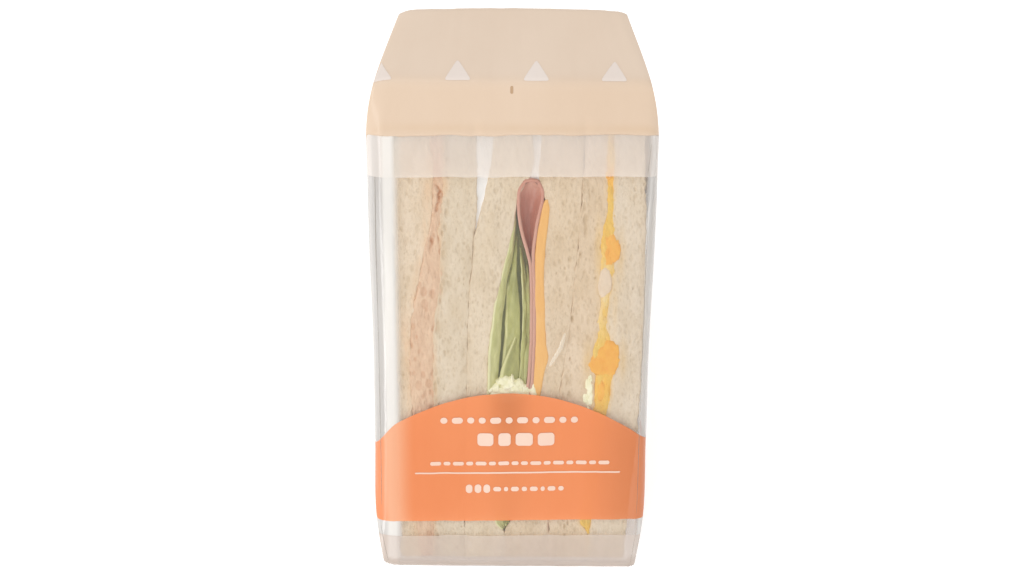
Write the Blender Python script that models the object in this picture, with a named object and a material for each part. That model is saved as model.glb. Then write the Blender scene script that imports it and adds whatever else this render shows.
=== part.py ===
"""Film pack of three triangular sandwiches, standing on one short face.

The pack is one closed solid: the outer form of a sealed clear film wrap with its three sandwiches inside.
Its side view is a right-angled triangle, with the long cut face in front, leaning back at 45 degrees,
and a folded head of printed film behind the top ridge. The mesh is a loft: rows run round the side view's
outline, columns run across the width, and each end is closed by rings that shrink to one point.

Sizes are in millimetres and become metres as the mesh is made. +X is to the right across the width,
+Y is backward, +Z is up. The origin is the middle of the base of the pack's box.
"""

import math

import bmesh
import bpy
import numpy as np

MM = 0.001

# Sandwiches: right-angled triangles of bread whose two short edges are this long.
BREAD_LEG = 110.5
# Film layers under the bread, and how far the film stands off its cut face and its back.
FLOOR_LAYERS = 0.8
FRONT_GAP = 1.6
BACK_GAP = 1.4

# Heights along the sloping front, measured up the slope from the bottom front edge.
FRONT_LENGTH = 161.0
LOWER_BAND_TOP = 11.9
LABEL_BOTTOM = 17.3
LABEL_TOP = 61.4
LABEL_ARC_RISE = 15.5
LABEL_ARC_END = 104.0
OVERLAP_BOTTOM = 131.7
HEADER_BOTTOM = 144.3

# Head: the printed film beyond the ridge leans back from the front's slope and is folded at its end.
HEAD_LEAN = math.radians(40)
HEAD_LENGTH = 27.3
HEAD_BOW = 1.3
HEAD_FOOT = 68.0
GUSSET_TUCK = 5.0
HEAD_EDGE_SHARE = 0.08
BASE_EDGE_SHARE = 0.25

# Corner radii of the side view.
TOE_RADIUS = 0.5
RIDGE_RADIUS = 4.0
FOLD_RADIUS = 1.2
FOOT_RADIUS = 30.0
HEEL_RADIUS = 3.0

# Half the pack's width at heights up the slope: full in the body, drawn in at the toe and in the head.
HALF_WIDTH = 44.3
WIDTH_AT = (
    (0.0, 41.4),
    (17.0, 44.1),
    (45.0, 44.4),
    (75.0, 44.4),
    (110.0, 45.2),
    (135.0, 45.3),
    (147.0, 45.0),
    (154.0, 44.0),
    (161.0, 42.3),
    (182.2, 34.9),
)
# Radius of the film where it turns from the front into each side, and how far each side panel sinks in.
LEFT_ROUND = 6.0
RIGHT_ROUND = 3.6
LEFT_SINK = 3.4
RIGHT_SINK = 1.0

# The rounding grows to its full radius over this height from the toe, and fades again towards the head.
TOE_BLEND = 24.0
HEAD_BLEND_FROM = 138.0
HEAD_BLEND = 24.0

# Thickness of each overlapping layer of film that stands proud of the next, and the run of each step.
LAYER = 0.35
STEP_RUN = 0.5
# How far the side panels lie inside the rim, so that their folded layers stay below it.
PANEL_SETBACK = 0.9
# Layers of folded film on a side panel: the front's flap lies over the base's, and that over the back's.
FLAP_LAYERS = {"front": 2.0, "base": 1.0, "back": 0.0, "head": 0.0}
# How far the film sags between two sandwiches, how wide the sag is, and the heights it fades in and out at.
GAP_SAG = 1.1
GAP_REACH = 1.6
SAG_FROM = (2.0, 12.0)
SAG_TO = (140.0, 152.0)
# How far from the triangle's middle the side panel's hollow ends, and how wide the head's tuck is.
HOLLOW_REACH = 52.0
TUCK_REACH = 11.0

# Where each layer's edge lies across the width, at the foot, the middle and the top of the front.
STATION_HEIGHTS = (5.0, 67.0, 125.0)
STATIONS = {
    "bread_left": (-36.9, -38.0, -37.6),
    "tuna_left": (-29.5, -32.0, -25.5),
    "tuna_right": (-26.5, -24.6, -21.9),
    "first_gap_left": (-17.2, -16.0, -13.6),
    "first_gap": (-15.2, -13.9, -10.0),
    "first_gap_right": (-13.2, -11.8, -6.4),
    "lettuce_left": (-4.6, -7.7, -1.2),
    "ham_left": (0.6, 5.2, 3.2),
    "cheese_left": (2.4, 7.4, 7.4),
    "cheese_right": (4.6, 10.4, 10.9),
    "second_gap_left": (9.6, 15.2, 18.6),
    "second_gap": (11.9, 17.3, 20.8),
    "second_gap_right": (14.2, 19.4, 23.0),
    "egg_left": (23.0, 26.4, 28.8),
    "egg_right": (27.0, 33.4, 32.2),
    "bread_right": (37.2, 40.2, 40.4),
}
# What shows through the window to the right of each station.
SHOWS = {
    "tuna_left": "tuna",
    "first_gap_left": "film",
    "first_gap": "film",
    "lettuce_left": "lettuce",
    "ham_left": "ham",
    "cheese_left": "cheese",
    "second_gap_left": "film",
    "second_gap": "film",
    "egg_left": "egg",
    "bread_right": "film",
}

# Steps of the mesh: columns of a rounding, points of a corner's arc, least gap between two columns, and the
# sizes of the rings that close each end.
ROUND_STEPS = 4
FILLET_STEPS = 3
LEAST_STEP = 0.2
RINGS = (0.96, 0.88, 0.78, 0.64, 0.44, 0.2)
# Shares of the way round the label's arc-shaped top edge, at evenly spaced rows.
ARC_SHARES = (0.25, 0.5, 0.75)
# Layers with a second column halfway to the next station.
HALVED = ("bread_left", "tuna_right", "cheese_right", "second_gap_right", "egg_right")

# Finishes: base colour, roughness.
FINISHES = {
    "film": ((0.80, 0.76, 0.70), 0.18),
    "frosted": ((0.76, 0.67, 0.58), 0.35),
    "header": ((0.79, 0.62, 0.48), 0.42),
    "label": ((0.89, 0.31, 0.13), 0.30),
    "bread": ((0.71, 0.56, 0.41), 0.60),
    "tuna": ((0.70, 0.50, 0.36), 0.50),
    "lettuce": ((0.33, 0.34, 0.13), 0.45),
    "ham": ((0.62, 0.33, 0.26), 0.45),
    "cheese": ((0.90, 0.54, 0.19), 0.40),
    "egg": ((0.86, 0.52, 0.16), 0.45),
}

SLOPE = np.array([math.cos(math.pi / 4), math.sin(math.pi / 4)])
OUTWARD = np.array([-math.sin(math.pi / 4), math.cos(math.pi / 4)])
BACKWARD = np.array([1.0, 0.0])


def clear_scene():
    """Remove every object that the file opened with."""
    for old in list(bpy.data.objects):
        bpy.data.objects.remove(old)


def corners():
    """Sharp corners of the side view as (y, z): toe, ridge, fold, foot of the head, heel."""
    front_plane = (BREAD_LEG + FLOOR_LAYERS) / math.sqrt(2) + FRONT_GAP
    toe = np.array([-front_plane * math.sqrt(2), 0.0])
    ridge = toe + FRONT_LENGTH * SLOPE
    lean = math.pi / 4 - HEAD_LEAN
    fold = ridge + HEAD_LENGTH * np.array([math.cos(lean), math.sin(lean)])
    foot = np.array([BACK_GAP, HEAD_FOOT])
    heel = np.array([BACK_GAP, 0.0])
    return {"toe": toe, "ridge": ridge, "fold": fold, "foot": foot, "heel": heel}


def fillet(before, corner, after, radius, steps):
    """Points of an arc that rounds a corner between two straight runs."""
    back = (before - corner) / np.linalg.norm(before - corner)
    ahead = (after - corner) / np.linalg.norm(after - corner)
    half = math.acos(float(np.clip(back @ ahead, -1, 1))) / 2
    reach = radius / math.tan(half)
    bisector = (back + ahead) / np.linalg.norm(back + ahead)
    centre = corner + bisector * radius / math.sin(half)
    first = corner + back * reach - centre
    last = corner + ahead * reach - centre
    sweep = math.pi - 2 * half
    turns = np.linspace(0, 1, steps + 1)[:, None] * sweep
    return centre + (np.sin(sweep - turns) * first + np.sin(turns) * last) / math.sin(sweep)


def between(start, end, shares):
    """Points, or heights, at the given shares of the way from start to end."""
    return [start + (end - start) * share for share in shares]


def outline_rows():
    """Rows round the side view: (point, side, height for the stations, arc share, layers, zone)."""
    at = corners()
    rows = []

    def add(points, side, height, zone, layers=0, arc=0.0):
        for point in points:
            rows.append((point, side, height, arc, layers, zone))

    toe_arc = fillet(at["heel"], at["toe"], at["ridge"], TOE_RADIUS, FILLET_STEPS)
    ridge_arc = fillet(at["toe"], at["ridge"], at["fold"], RIDGE_RADIUS, FILLET_STEPS)
    fold_arc = fillet(at["ridge"], at["fold"], at["foot"], FOLD_RADIUS, FILLET_STEPS)
    foot_arc = fillet(at["fold"], at["foot"], at["heel"], FOOT_RADIUS, FILLET_STEPS)
    heel_arc = fillet(at["foot"], at["heel"], at["toe"], HEEL_RADIUS, FILLET_STEPS)

    add(toe_arc[:-1], "base", 0.0, "frosted")
    label_rows = between(LABEL_BOTTOM, LABEL_TOP, ARC_SHARES)
    window_rows = between(LABEL_ARC_END, LABEL_TOP, ARC_SHARES)
    front = [
        (LOWER_BAND_TOP / 2, "frosted", 1, 0.0),
        (LOWER_BAND_TOP - STEP_RUN, "frosted", 1, 0.0),
        (LOWER_BAND_TOP, "window", 0, 0.0),
        (LABEL_BOTTOM, "label", 0, 0.0),
        *((height, "label", 0, share) for height, share in zip(label_rows, ARC_SHARES)),
        (LABEL_TOP, "window", 0, 1.0),
        *((height, "window", 0, share) for height, share in zip(window_rows[::-1], ARC_SHARES[::-1])),
        (LABEL_ARC_END, "window", 0, 0.0),
        *((height, "window", 0, 0.0) for height in between(LABEL_ARC_END, OVERLAP_BOTTOM, (0.33, 0.66))),
        (OVERLAP_BOTTOM - STEP_RUN, "window", 0, 0.0),
        (OVERLAP_BOTTOM, "frosted", 1, 0.0),
        ((OVERLAP_BOTTOM + HEADER_BOTTOM) / 2, "frosted", 1, 0.0),
        (HEADER_BOTTOM - STEP_RUN, "frosted", 1, 0.0),
        *((height, "header", 2, 0.0) for height in between(HEADER_BOTTOM, FRONT_LENGTH, (0.0, 0.32, 0.63))),
    ]
    for height, zone, layers, arc in front:
        add([at["toe"] + height * SLOPE], "front", height, zone, layers, arc)
    top = FRONT_LENGTH
    add(ridge_arc, "head", top, "header", layers=2)
    add(between(ridge_arc[-1], fold_arc[0], (0.25, 0.5, 0.75)), "head", top, "header", layers=2)
    add(fold_arc, "head", top, "header", layers=1)
    add(between(fold_arc[-1], foot_arc[0], (0.3, 0.65)), "head", top, "header", layers=1)
    add(foot_arc, "back", top * 0.6, "header", layers=1)
    add(between(foot_arc[-1], heel_arc[0], (0.35, 0.7)), "back", top * 0.3, "header", layers=1)
    add(heel_arc, "back", 0.0, "frosted")
    add(between(heel_arc[-1], toe_arc[0], (0.15, 0.35, 0.55, 0.75, 0.9)), "base", 0.0, "frosted")
    return rows


def smooth_through(pairs, at):
    """A smooth curve through (position, value) pairs, by cubic pieces with the neighbours' mean slopes."""
    x, y = np.array(pairs, float).T
    slopes = np.gradient(y, x)
    at = np.clip(at, x[0], x[-1])
    i = np.clip(np.searchsorted(x, at) - 1, 0, len(x) - 2)
    step = x[i + 1] - x[i]
    t = (at - x[i]) / step
    return (
        (1 + 2 * t) * (1 - t) ** 2 * y[i]
        + t * (1 - t) ** 2 * step * slopes[i]
        + t**2 * (3 - 2 * t) * y[i + 1]
        + t**2 * (t - 1) * step * slopes[i + 1]
    )


def eased(value):
    """0 below 0, 1 above 1, and a smooth rise between."""
    t = np.clip(value, 0, 1)
    return t * t * (3 - 2 * t)


def height_up_slope(points):
    """How far up the front's slope each (y, z) point lies, from the toe."""
    return (points - corners()["toe"]) @ SLOPE


def edge_share(height):
    """The share of the sides' rounding that is left at a height: little at the toe and in the head."""
    toe = BASE_EDGE_SHARE + (1 - BASE_EDGE_SHARE) * eased(height / TOE_BLEND)
    head = 1 - (1 - HEAD_EDGE_SHARE) * eased((height - HEAD_BLEND_FROM) / HEAD_BLEND)
    return toe * head


def width_columns(height):
    """Columns across the pack at one height: (x, inset towards the pack's middle, name of the station)."""
    columns = []
    for turn in np.linspace(0, math.pi / 2, ROUND_STEPS + 1):
        x = -(HALF_WIDTH - LEFT_ROUND) - LEFT_ROUND * math.cos(turn)
        columns.append((x, LEFT_ROUND * (1 - math.sin(turn)), "film"))
    names = list(STATIONS)
    places = [float(np.interp(height, STATION_HEIGHTS, STATIONS[name])) for name in names]
    for i, name in enumerate(names):
        columns.append((max(places[i], columns[-1][0] + LEAST_STEP), 0.0, name))
        if name in HALVED:
            columns.append(((places[i] + places[i + 1]) / 2, 0.0, name))
    first = max(HALF_WIDTH - RIGHT_ROUND, columns[-1][0] + LEAST_STEP)
    for turn in np.linspace(math.pi / 2, 0, ROUND_STEPS + 1):
        x = first + (HALF_WIDTH - first) * math.cos(turn)
        columns.append((x, RIGHT_ROUND * (1 - math.sin(turn)), "film"))
    return columns


def arc_drop(x):
    """How far the label's top edge has dropped at x from its crown."""
    return LABEL_ARC_RISE * np.clip(np.abs(x) / HALF_WIDTH, 0, 1) ** 2


def gap_sag(x, height, columns):
    """How far the film sags at x, in the two gaps between the sandwiches."""
    at = {name: place for place, _, name in columns}
    sag = sum(np.exp(-(((x - at[name]) / GAP_REACH) ** 2)) for name in ("first_gap", "second_gap"))
    rise = eased((height - SAG_FROM[0]) / (SAG_FROM[1] - SAG_FROM[0]))
    fall = eased((height - SAG_TO[0]) / (SAG_TO[1] - SAG_TO[0]))
    return GAP_SAG * sag * rise * (1 - fall)


def loft_points():
    """The tube's points as an array of rows by columns by (x, y, z), and what each face of it shows."""
    centre = middle_of_triangle()
    inradius = centre[1]
    rows = outline_rows()
    points, zones = [], []
    for base, side, height, arc, layers, zone in rows:
        columns = width_columns(height)
        x, inset, names = (list(part) for part in zip(*columns))
        x, inset = np.array(x), np.array(inset)
        place = base[None, :] - (arc * arc_drop(x))[:, None] * SLOPE
        up = height_up_slope(place)
        shrink = 1 - edge_share(up) * inset / inradius
        place = centre + shrink[:, None] * (place - centre)
        if side == "front":
            place = place - gap_sag(x, height, columns)[:, None] * OUTWARD
        if side == "head":
            place = place + head_bow(x, base)[:, None] * BACKWARD
        away = place - centre
        away = away / np.linalg.norm(away, axis=1)[:, None]
        place = place + away * LAYER * layers
        width = smooth_through(WIDTH_AT, height_up_slope(place)) / HALF_WIDTH
        points.append(np.column_stack([x * width, place]))
        zones.append([SHOWS.get(name, "bread") if zone == "window" else zone for name in names])
        if zone == "window":
            for i in [*range(ROUND_STEPS + 1), *range(len(names) - ROUND_STEPS - 1, len(names))]:
                zones[-1][i] = "film"
    return np.array(points), zones


def head_bow(x, base):
    """How far the head's folded end bows out at x, growing from the ridge to the fold."""
    at = corners()
    share = np.clip((base[0] - at["ridge"][0]) / (at["fold"][0] - at["ridge"][0]), 0, 1)
    share = share * eased((base[1] - HEAD_FOOT) / (at["fold"][1] - HEAD_FOOT))
    return HEAD_BOW * share * (1 - (x / HALF_WIDTH) ** 2)


def middle_of_triangle():
    """Centre of the circle that touches the pack's front, back and base, as (y, z)."""
    at = corners()
    leg = at["heel"][0] - at["toe"][0]
    inradius = leg * (2 - math.sqrt(2)) / 2
    return np.array([at["heel"][0] - inradius, inradius])


def side_sink(points, depth):
    """How far a side panel sinks in at (y, z) points: in its middle, and in the gusset of the head."""
    centre = middle_of_triangle()
    far = np.linalg.norm(points - centre, axis=1)
    body = depth * (1 - eased(far / HOLLOW_REACH))
    at = corners()
    gusset_middle = (at["ridge"] + at["fold"] + at["foot"]) / 3
    gusset = GUSSET_TUCK * np.exp(-((np.linalg.norm(points - gusset_middle, axis=1) / TUCK_REACH) ** 2))
    return body + gusset


def flap_layers(rows):
    """Layers of folded film on a side panel at each row of the outline."""
    return np.array([FLAP_LAYERS[side] for _, side, _, _, _, _ in rows])


def cap_rings(rim, side):
    """Rings that close one end: each shrinks the rim towards the triangle's middle."""
    centre = middle_of_triangle()
    depth = LEFT_SINK if side < 0 else RIGHT_SINK
    layers = flap_layers(outline_rows())
    rings = []
    for share in RINGS:
        place = centre + share * (rim[:, 1:] - centre)
        width = smooth_through(WIDTH_AT, height_up_slope(place))
        lift = LAYER * layers * eased((1 - share) / 0.1) * eased(share / 0.5)
        setback = PANEL_SETBACK * eased((1 - share) / 0.1)
        x = side * (width - side_sink(place, depth) - setback + lift)
        rings.append(np.column_stack([x, place]))
    tip_x = side * (smooth_through(WIDTH_AT, height_up_slope(centre)) - depth - PANEL_SETBACK)
    return rings, np.array([tip_x, *centre])


def add_material(name):
    """A Principled material with a finish's colour and roughness."""
    colour, roughness = FINISHES[name]
    material = bpy.data.materials.new(name)
    material.use_nodes = True
    shader = material.node_tree.nodes["Principled BSDF"]
    shader.inputs["Base Color"].default_value = (*colour, 1.0)
    shader.inputs["Roughness"].default_value = roughness
    shader.inputs["Metallic"].default_value = 0.0
    material.diffuse_color = (*colour, 1.0)
    return material


def make_pack():
    """Build the pack as one closed mesh object, its box centred on the origin and standing on z = 0."""
    points, zones = loft_points()
    left_rings, left_tip = cap_rings(points[:, 0], -1)
    right_rings, right_tip = cap_rings(points[:, -1], 1)
    low, high = points.reshape(-1, 3).min(0), points.reshape(-1, 3).max(0)
    shift = np.array([0.0, (low[1] + high[1]) / 2, low[2]])
    finishes = list(FINISHES)

    bm = bmesh.new()

    def vertex(point):
        return bm.verts.new((point - shift) * MM)

    def face(corner_vertices, finish):
        bm.faces.new(corner_vertices).material_index = finishes.index(finish)

    tube = [[vertex(point) for point in row] for row in points]
    for i, row in enumerate(tube):
        after = tube[(i + 1) % len(tube)]
        for j in range(len(row) - 1):
            face((row[j], row[j + 1], after[j + 1], after[j]), zones[i][j])

    def close_end(rim, rings, tip, outward):
        loops = [rim] + [[vertex(point) for point in ring] for ring in rings]
        for outer, inner in zip(loops, loops[1:]):
            for i in range(len(outer)):
                k = (i + 1) % len(outer)
                quad = (outer[i], outer[k], inner[k], inner[i])
                finish = "header" if zones[i][0] == "header" and outer is rim else "film"
                face(quad if outward else quad[::-1], finish)
        middle = vertex(tip)
        for i in range(len(loops[-1])):
            k = (i + 1) % len(loops[-1])
            triangle = (loops[-1][i], loops[-1][k], middle)
            face(triangle if outward else triangle[::-1], "film")

    close_end([row[0] for row in tube], left_rings, left_tip, False)
    close_end([row[-1] for row in tube], right_rings, right_tip, True)
    bmesh.ops.recalc_face_normals(bm, faces=bm.faces)

    mesh = bpy.data.meshes.new("film_pack")
    bm.to_mesh(mesh)
    bm.free()
    for name in finishes:
        mesh.materials.append(add_material(name))
    mesh.shade_smooth()
    mesh.set_sharp_from_angle(angle=math.radians(35))
    pack = bpy.data.objects.new("film_pack", mesh)
    bpy.context.scene.collection.objects.link(pack)
    return pack


clear_scene()
make_pack()
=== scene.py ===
"""Looks of a film pack of three triangular sandwiches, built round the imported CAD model.

Sizes are in millimetres. The pack's side view is worked out in a plane of its own: y runs backward and z up
from the bread's right-angled corner. A point on the front is named by x, its distance to the right of the
pack's middle, and by its height, measured up the slope from the bottom front edge. PackForm turns both into
places in the frame, in metres.
"""

import logging
import math
from dataclasses import dataclass, field
from enum import Enum
from functools import cached_property

import bpy
import numpy as np
from mathutils import Matrix, Vector


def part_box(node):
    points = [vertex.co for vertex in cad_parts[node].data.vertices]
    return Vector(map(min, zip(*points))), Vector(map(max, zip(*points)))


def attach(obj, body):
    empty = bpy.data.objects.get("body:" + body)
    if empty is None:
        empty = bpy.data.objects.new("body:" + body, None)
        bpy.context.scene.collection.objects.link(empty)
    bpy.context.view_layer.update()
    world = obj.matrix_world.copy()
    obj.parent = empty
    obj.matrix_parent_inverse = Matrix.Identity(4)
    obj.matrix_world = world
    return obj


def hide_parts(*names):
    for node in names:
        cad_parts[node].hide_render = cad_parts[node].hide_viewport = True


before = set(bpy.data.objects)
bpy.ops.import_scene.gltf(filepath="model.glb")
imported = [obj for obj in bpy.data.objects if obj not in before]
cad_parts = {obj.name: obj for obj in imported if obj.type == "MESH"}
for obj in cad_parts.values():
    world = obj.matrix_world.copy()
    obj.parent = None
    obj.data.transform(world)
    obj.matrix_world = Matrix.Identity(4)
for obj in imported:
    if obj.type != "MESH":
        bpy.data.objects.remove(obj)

MM = 0.001
NODE = "film_pack"
BODY = "root"
# Directions in the side view: up the front's slope, out of the front, and to the back.
SLOPE = np.array([math.cos(math.pi / 4), math.sin(math.pi / 4)])
OUTWARD = np.array([-math.sin(math.pi / 4), math.cos(math.pi / 4)])
BACKWARD = np.array([1.0, 0.0])
# Points on each rounded corner of the side view.
ARC_POINTS = 17

Array = np.ndarray
Colour = tuple[float, float, float, float]
Span = tuple[float, float]
Triples = tuple[tuple[float, float, float], ...]
Piece = bpy.types.Object
Socket = bpy.types.NodeSocket

log = logging.getLogger("sandwich_pack")


class Slot(Enum):
    """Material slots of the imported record."""

    FILM = "film"
    FROSTED = "frosted"
    HEADER = "header"
    LABEL = "label"
    MARKS = "marks"
    BREAD = "bread"
    TUNA = "tuna"
    LETTUCE = "lettuce"
    HAM = "ham"
    CHEESE = "cheese"
    EGG = "egg"


def eased(value: Array) -> Array:
    """0 below 0, 1 above 1, and between them the smooth rise 3t^2 - 2t^3."""
    t = np.clip(value, 0, 1)
    return t * t * (3 - 2 * t)


def ramp(value: Array, low: float, high: float) -> Array:
    """A smooth rise from 0 at low to 1 at high."""
    return eased((np.asarray(value, float) - low) / (high - low))


def bell(value: Array, middle: float, reach: float) -> Array:
    """A bell curve, 1 at the middle and 1/e at the reach."""
    return np.exp(-(((value - middle) / reach) ** 2))


def srgb(red: float, green: float, blue: float) -> Colour:
    """A linear colour from the 0 to 255 values that a screen shows.

    Args:
        red: Red, 0 to 255.
        green: Green, 0 to 255.
        blue: Blue, 0 to 255.

    Returns:
        The linear red, green and blue, and an alpha of 1.
    """
    shares = np.array([red, green, blue]) / 255
    linear = np.where(shares <= 0.04045, shares / 12.92, ((shares + 0.055) / 1.055) ** 2.4)
    return (float(linear[0]), float(linear[1]), float(linear[2]), 1.0)


def scattered(column: Array, row: Array, seed: int) -> Array:
    """An even random share, 0 to 1, for each whole-numbered cell, by mixing the bits of its two numbers.

    Args:
        column: The cells' columns.
        row: The cells' rows.
        seed: Picks one arrangement.

    Returns:
        The shares.
    """
    mixed = (
        column.astype(np.int64) * 374761393 + row.astype(np.int64) * 668265263 + seed * 1274126177
    ) & 0xFFFFFFFF
    mixed = ((mixed ^ (mixed >> 13)) * 1274126177) & 0xFFFFFFFF
    mixed = ((mixed ^ (mixed >> 16)) * 2246822519) & 0xFFFFFFFF
    return ((mixed ^ (mixed >> 15)) & 0xFFFF) / 65535.0


def soft_noise(x: Array, y: Array, seed: int) -> Array:
    """Noise from -1 to 1: random values at whole-numbered points, blended smoothly between them.

    Args:
        x: Places across, in cells.
        y: Places up, in cells.
        seed: Picks one arrangement.

    Returns:
        The noise at each place.
    """
    x, y = np.broadcast_arrays(np.asarray(x, float), np.asarray(y, float))
    left, low = np.floor(x), np.floor(y)
    across, up = eased(x - left), eased(y - low)
    corners = [[scattered(left + i, low + j, seed) for i in (0, 1)] for j in (0, 1)]
    bottom = corners[0][0] * (1 - across) + corners[0][1] * across
    top = corners[1][0] * (1 - across) + corners[1][1] * across
    return 2 * (bottom * (1 - up) + top * up) - 1


def rough_noise(x: Array, y: Array, seed: int, layers: int = 3) -> Array:
    """Soft noise summed over layers, each at twice the frequency and half the strength of the last."""
    total = sum(soft_noise(x * 2**i, y * 2**i, seed + 17 * i) / 2**i for i in range(layers))
    return total / (2 - 2 ** (1 - layers))


def pits(x: Array, y: Array, cell: tuple[float, float], fill: float, seed: int) -> Array:
    """How deep each point lies in scattered oval pits, from 0 to 1.

    The plane is divided into cells, and a share of them hold one pit with its middle and radius chosen at
    random. The depth at a point is the largest of 1 - (distance / radius)^2 over the nine cells around it.

    Args:
        x: Places across, in millimetres.
        y: Places up, in millimetres.
        cell: A cell's width and height, in millimetres.
        fill: The share of the cells that hold a pit.
        seed: Picks one arrangement.

    Returns:
        The depth at each point.
    """
    across, up = x / cell[0], y / cell[1]
    column, row = np.floor(across), np.floor(up)
    depth = np.zeros(np.broadcast(across, up).shape)
    for i in (-1, 0, 1):
        for j in (-1, 0, 1):
            c, r = column + i, row + j
            middle_x = c + scattered(c, r, seed)
            middle_y = r + scattered(c, r, seed + 1)
            radius = 0.22 + 0.4 * scattered(c, r, seed + 2)
            held = (scattered(c, r, seed + 3) < fill) * (0.45 + 0.55 * scattered(c, r, seed + 4))
            distance = (across - middle_x) ** 2 + (up - middle_y) ** 2
            depth = np.maximum(depth, held * np.clip(1 - distance / radius**2, 0, 1))
    return depth


@dataclass(frozen=True)
class Line:
    """A line up the cut face: pairs of a height and the line's distance to the right of the pack's middle."""

    anchors: tuple[tuple[float, float], ...]

    def at(self, height: Array) -> Array:
        """The line's x at each height, by cubic pieces whose slopes are the means of their neighbours'.

        Args:
            height: Heights up the slope.

        Returns:
            The line's x at those heights.
        """
        known, x = np.array(self.anchors, float).T
        slopes = np.gradient(x, known)
        height = np.clip(height, known[0], known[-1])
        i = np.clip(np.searchsorted(known, height) - 1, 0, len(known) - 2)
        step = known[i + 1] - known[i]
        t = (height - known[i]) / step
        value = (1 + 2 * t) * (1 - t) ** 2 * x[i] + t * (1 - t) ** 2 * step * slopes[i]
        return value + t**2 * (3 - 2 * t) * x[i + 1] + t**2 * (t - 1) * step * slopes[i + 1]


@dataclass(frozen=True)
class PackForm:
    """The pack's outer form, from the same sizes as the CAD model."""

    bread_leg: float = 110.5
    floor_layers: float = 0.8
    front_gap: float = 1.6
    back_gap: float = 1.4
    front_length: float = 161.0
    head_lean: float = math.radians(40)
    head_length: float = 27.3
    head_bow: float = 1.3
    head_foot: float = 68.0
    radii: tuple[float, float, float, float, float] = (0.5, 4.0, 1.2, 30.0, 3.0)
    half_width: float = 44.3
    widths: Line = Line((
        (0.0, 41.4), (17.0, 44.1), (45.0, 44.4), (75.0, 44.4), (110.0, 45.2), (135.0, 45.3),
        (147.0, 45.0), (154.0, 44.0), (161.0, 42.3), (182.2, 34.9),
    ))
    left_round: float = 6.0
    right_round: float = 3.6
    left_sink: float = 3.4
    right_sink: float = 1.0
    panel_setback: float = 0.9
    gusset_tuck: float = 5.0
    hollow_reach: float = 52.0
    tuck_reach: float = 11.0
    gap_sag: float = 1.1
    gap_reach: float = 1.6
    layer: float = 0.35
    flat_share: float = 0.8

    @cached_property
    def corners(self) -> dict[str, Array]:
        """Sharp corners of the side view: toe, ridge, fold, foot of the head, heel.

        Returns:
            Each corner's place, by its name.
        """
        front_plane = (self.bread_leg + self.floor_layers) / math.sqrt(2) + self.front_gap
        toe = np.array([-front_plane * math.sqrt(2), 0.0])
        ridge = toe + self.front_length * SLOPE
        lean = math.pi / 4 - self.head_lean
        fold = ridge + self.head_length * np.array([math.cos(lean), math.sin(lean)])
        foot = np.array([self.back_gap, self.head_foot])
        heel = np.array([self.back_gap, 0.0])
        return {"toe": toe, "ridge": ridge, "fold": fold, "foot": foot, "heel": heel}

    @cached_property
    def middle(self) -> Array:
        """Middle of the circle that touches the front, the back and the base."""
        leg = self.corners["heel"][0] - self.corners["toe"][0]
        radius = leg * (2 - math.sqrt(2)) / 2
        return np.array([self.corners["heel"][0] - radius, radius])

    def rounded_corner(self, before: Array, corner: Array, after: Array, radius: float) -> Array:
        """Points of the arc that rounds a corner between two straight runs.

        Args:
            before: The corner before it.
            corner: The sharp corner.
            after: The corner after it.
            radius: The arc's radius.

        Returns:
            Points along the arc: its end directions blended by the sines of the angles left.
        """
        back = (before - corner) / np.linalg.norm(before - corner)
        ahead = (after - corner) / np.linalg.norm(after - corner)
        half = math.acos(float(np.clip(back @ ahead, -1, 1))) / 2
        reach = radius / math.tan(half)
        centre = corner + (back + ahead) / np.linalg.norm(back + ahead) * radius / math.sin(half)
        sweep = math.pi - 2 * half
        turn = np.linspace(0, sweep, ARC_POINTS)[:, None]
        first, last = corner + back * reach - centre, corner + ahead * reach - centre
        return centre + (np.sin(sweep - turn) * first + np.sin(turn) * last) / math.sin(sweep)

    @cached_property
    def outline(self) -> tuple[Array, Array]:
        """The side view's outline from the toe up the front and round: distance along it, and its points.

        The distance equals the height up the slope along the straight front.

        Returns:
            The distances and the points.
        """
        names = ["toe", "ridge", "fold", "foot", "heel"]
        arcs = []
        for i, name in enumerate(names):
            before, after = self.corners[names[i - 1]], self.corners[names[(i + 1) % 5]]
            arcs.append(self.rounded_corner(before, self.corners[name], after, self.radii[i]))
        points = np.vstack([arcs[0][-1:], *arcs[1:], arcs[0]])
        steps = np.linalg.norm(np.diff(points, axis=0), axis=1)
        start = self.height(points[0])
        return start + np.concatenate([[0.0], np.cumsum(steps)]), points

    @cached_property
    def marks(self) -> dict[str, float]:
        """Distances along the outline of its corners' arcs: first and last point of each.

        Returns:
            The distances, by name.
        """
        run = self.outline[0]
        found = {"front_start": float(run[0]), "round": float(run[-1] - run[0])}
        for i, name in enumerate(("ridge", "fold", "foot", "heel", "toe")):
            found[name + "_start"] = float(run[1 + ARC_POINTS * i])
            found[name + "_end"] = float(run[ARC_POINTS * (i + 1)])
        return found

    def height(self, points: Array) -> Array:
        """How far up the front's slope each point of the side view lies, from the toe."""
        return (points - self.corners["toe"]) @ SLOPE

    def side_point(self, along: Array) -> Array:
        """Points of the side view's outline at distances along it; the outline repeats past its end."""
        run, points = self.outline
        along = run[0] + np.mod(np.asarray(along, float) - run[0], run[-1] - run[0])
        return np.stack([np.interp(along, run, points[:, i]) for i in (0, 1)], axis=-1)

    def edge_share(self, height: Array) -> Array:
        """The share of the sides' rounding that is left at a height: little at the toe and in the head."""
        return (0.1 + 0.9 * eased(height / 24)) * (1 - 0.92 * ramp(height, 138, 162))

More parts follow.
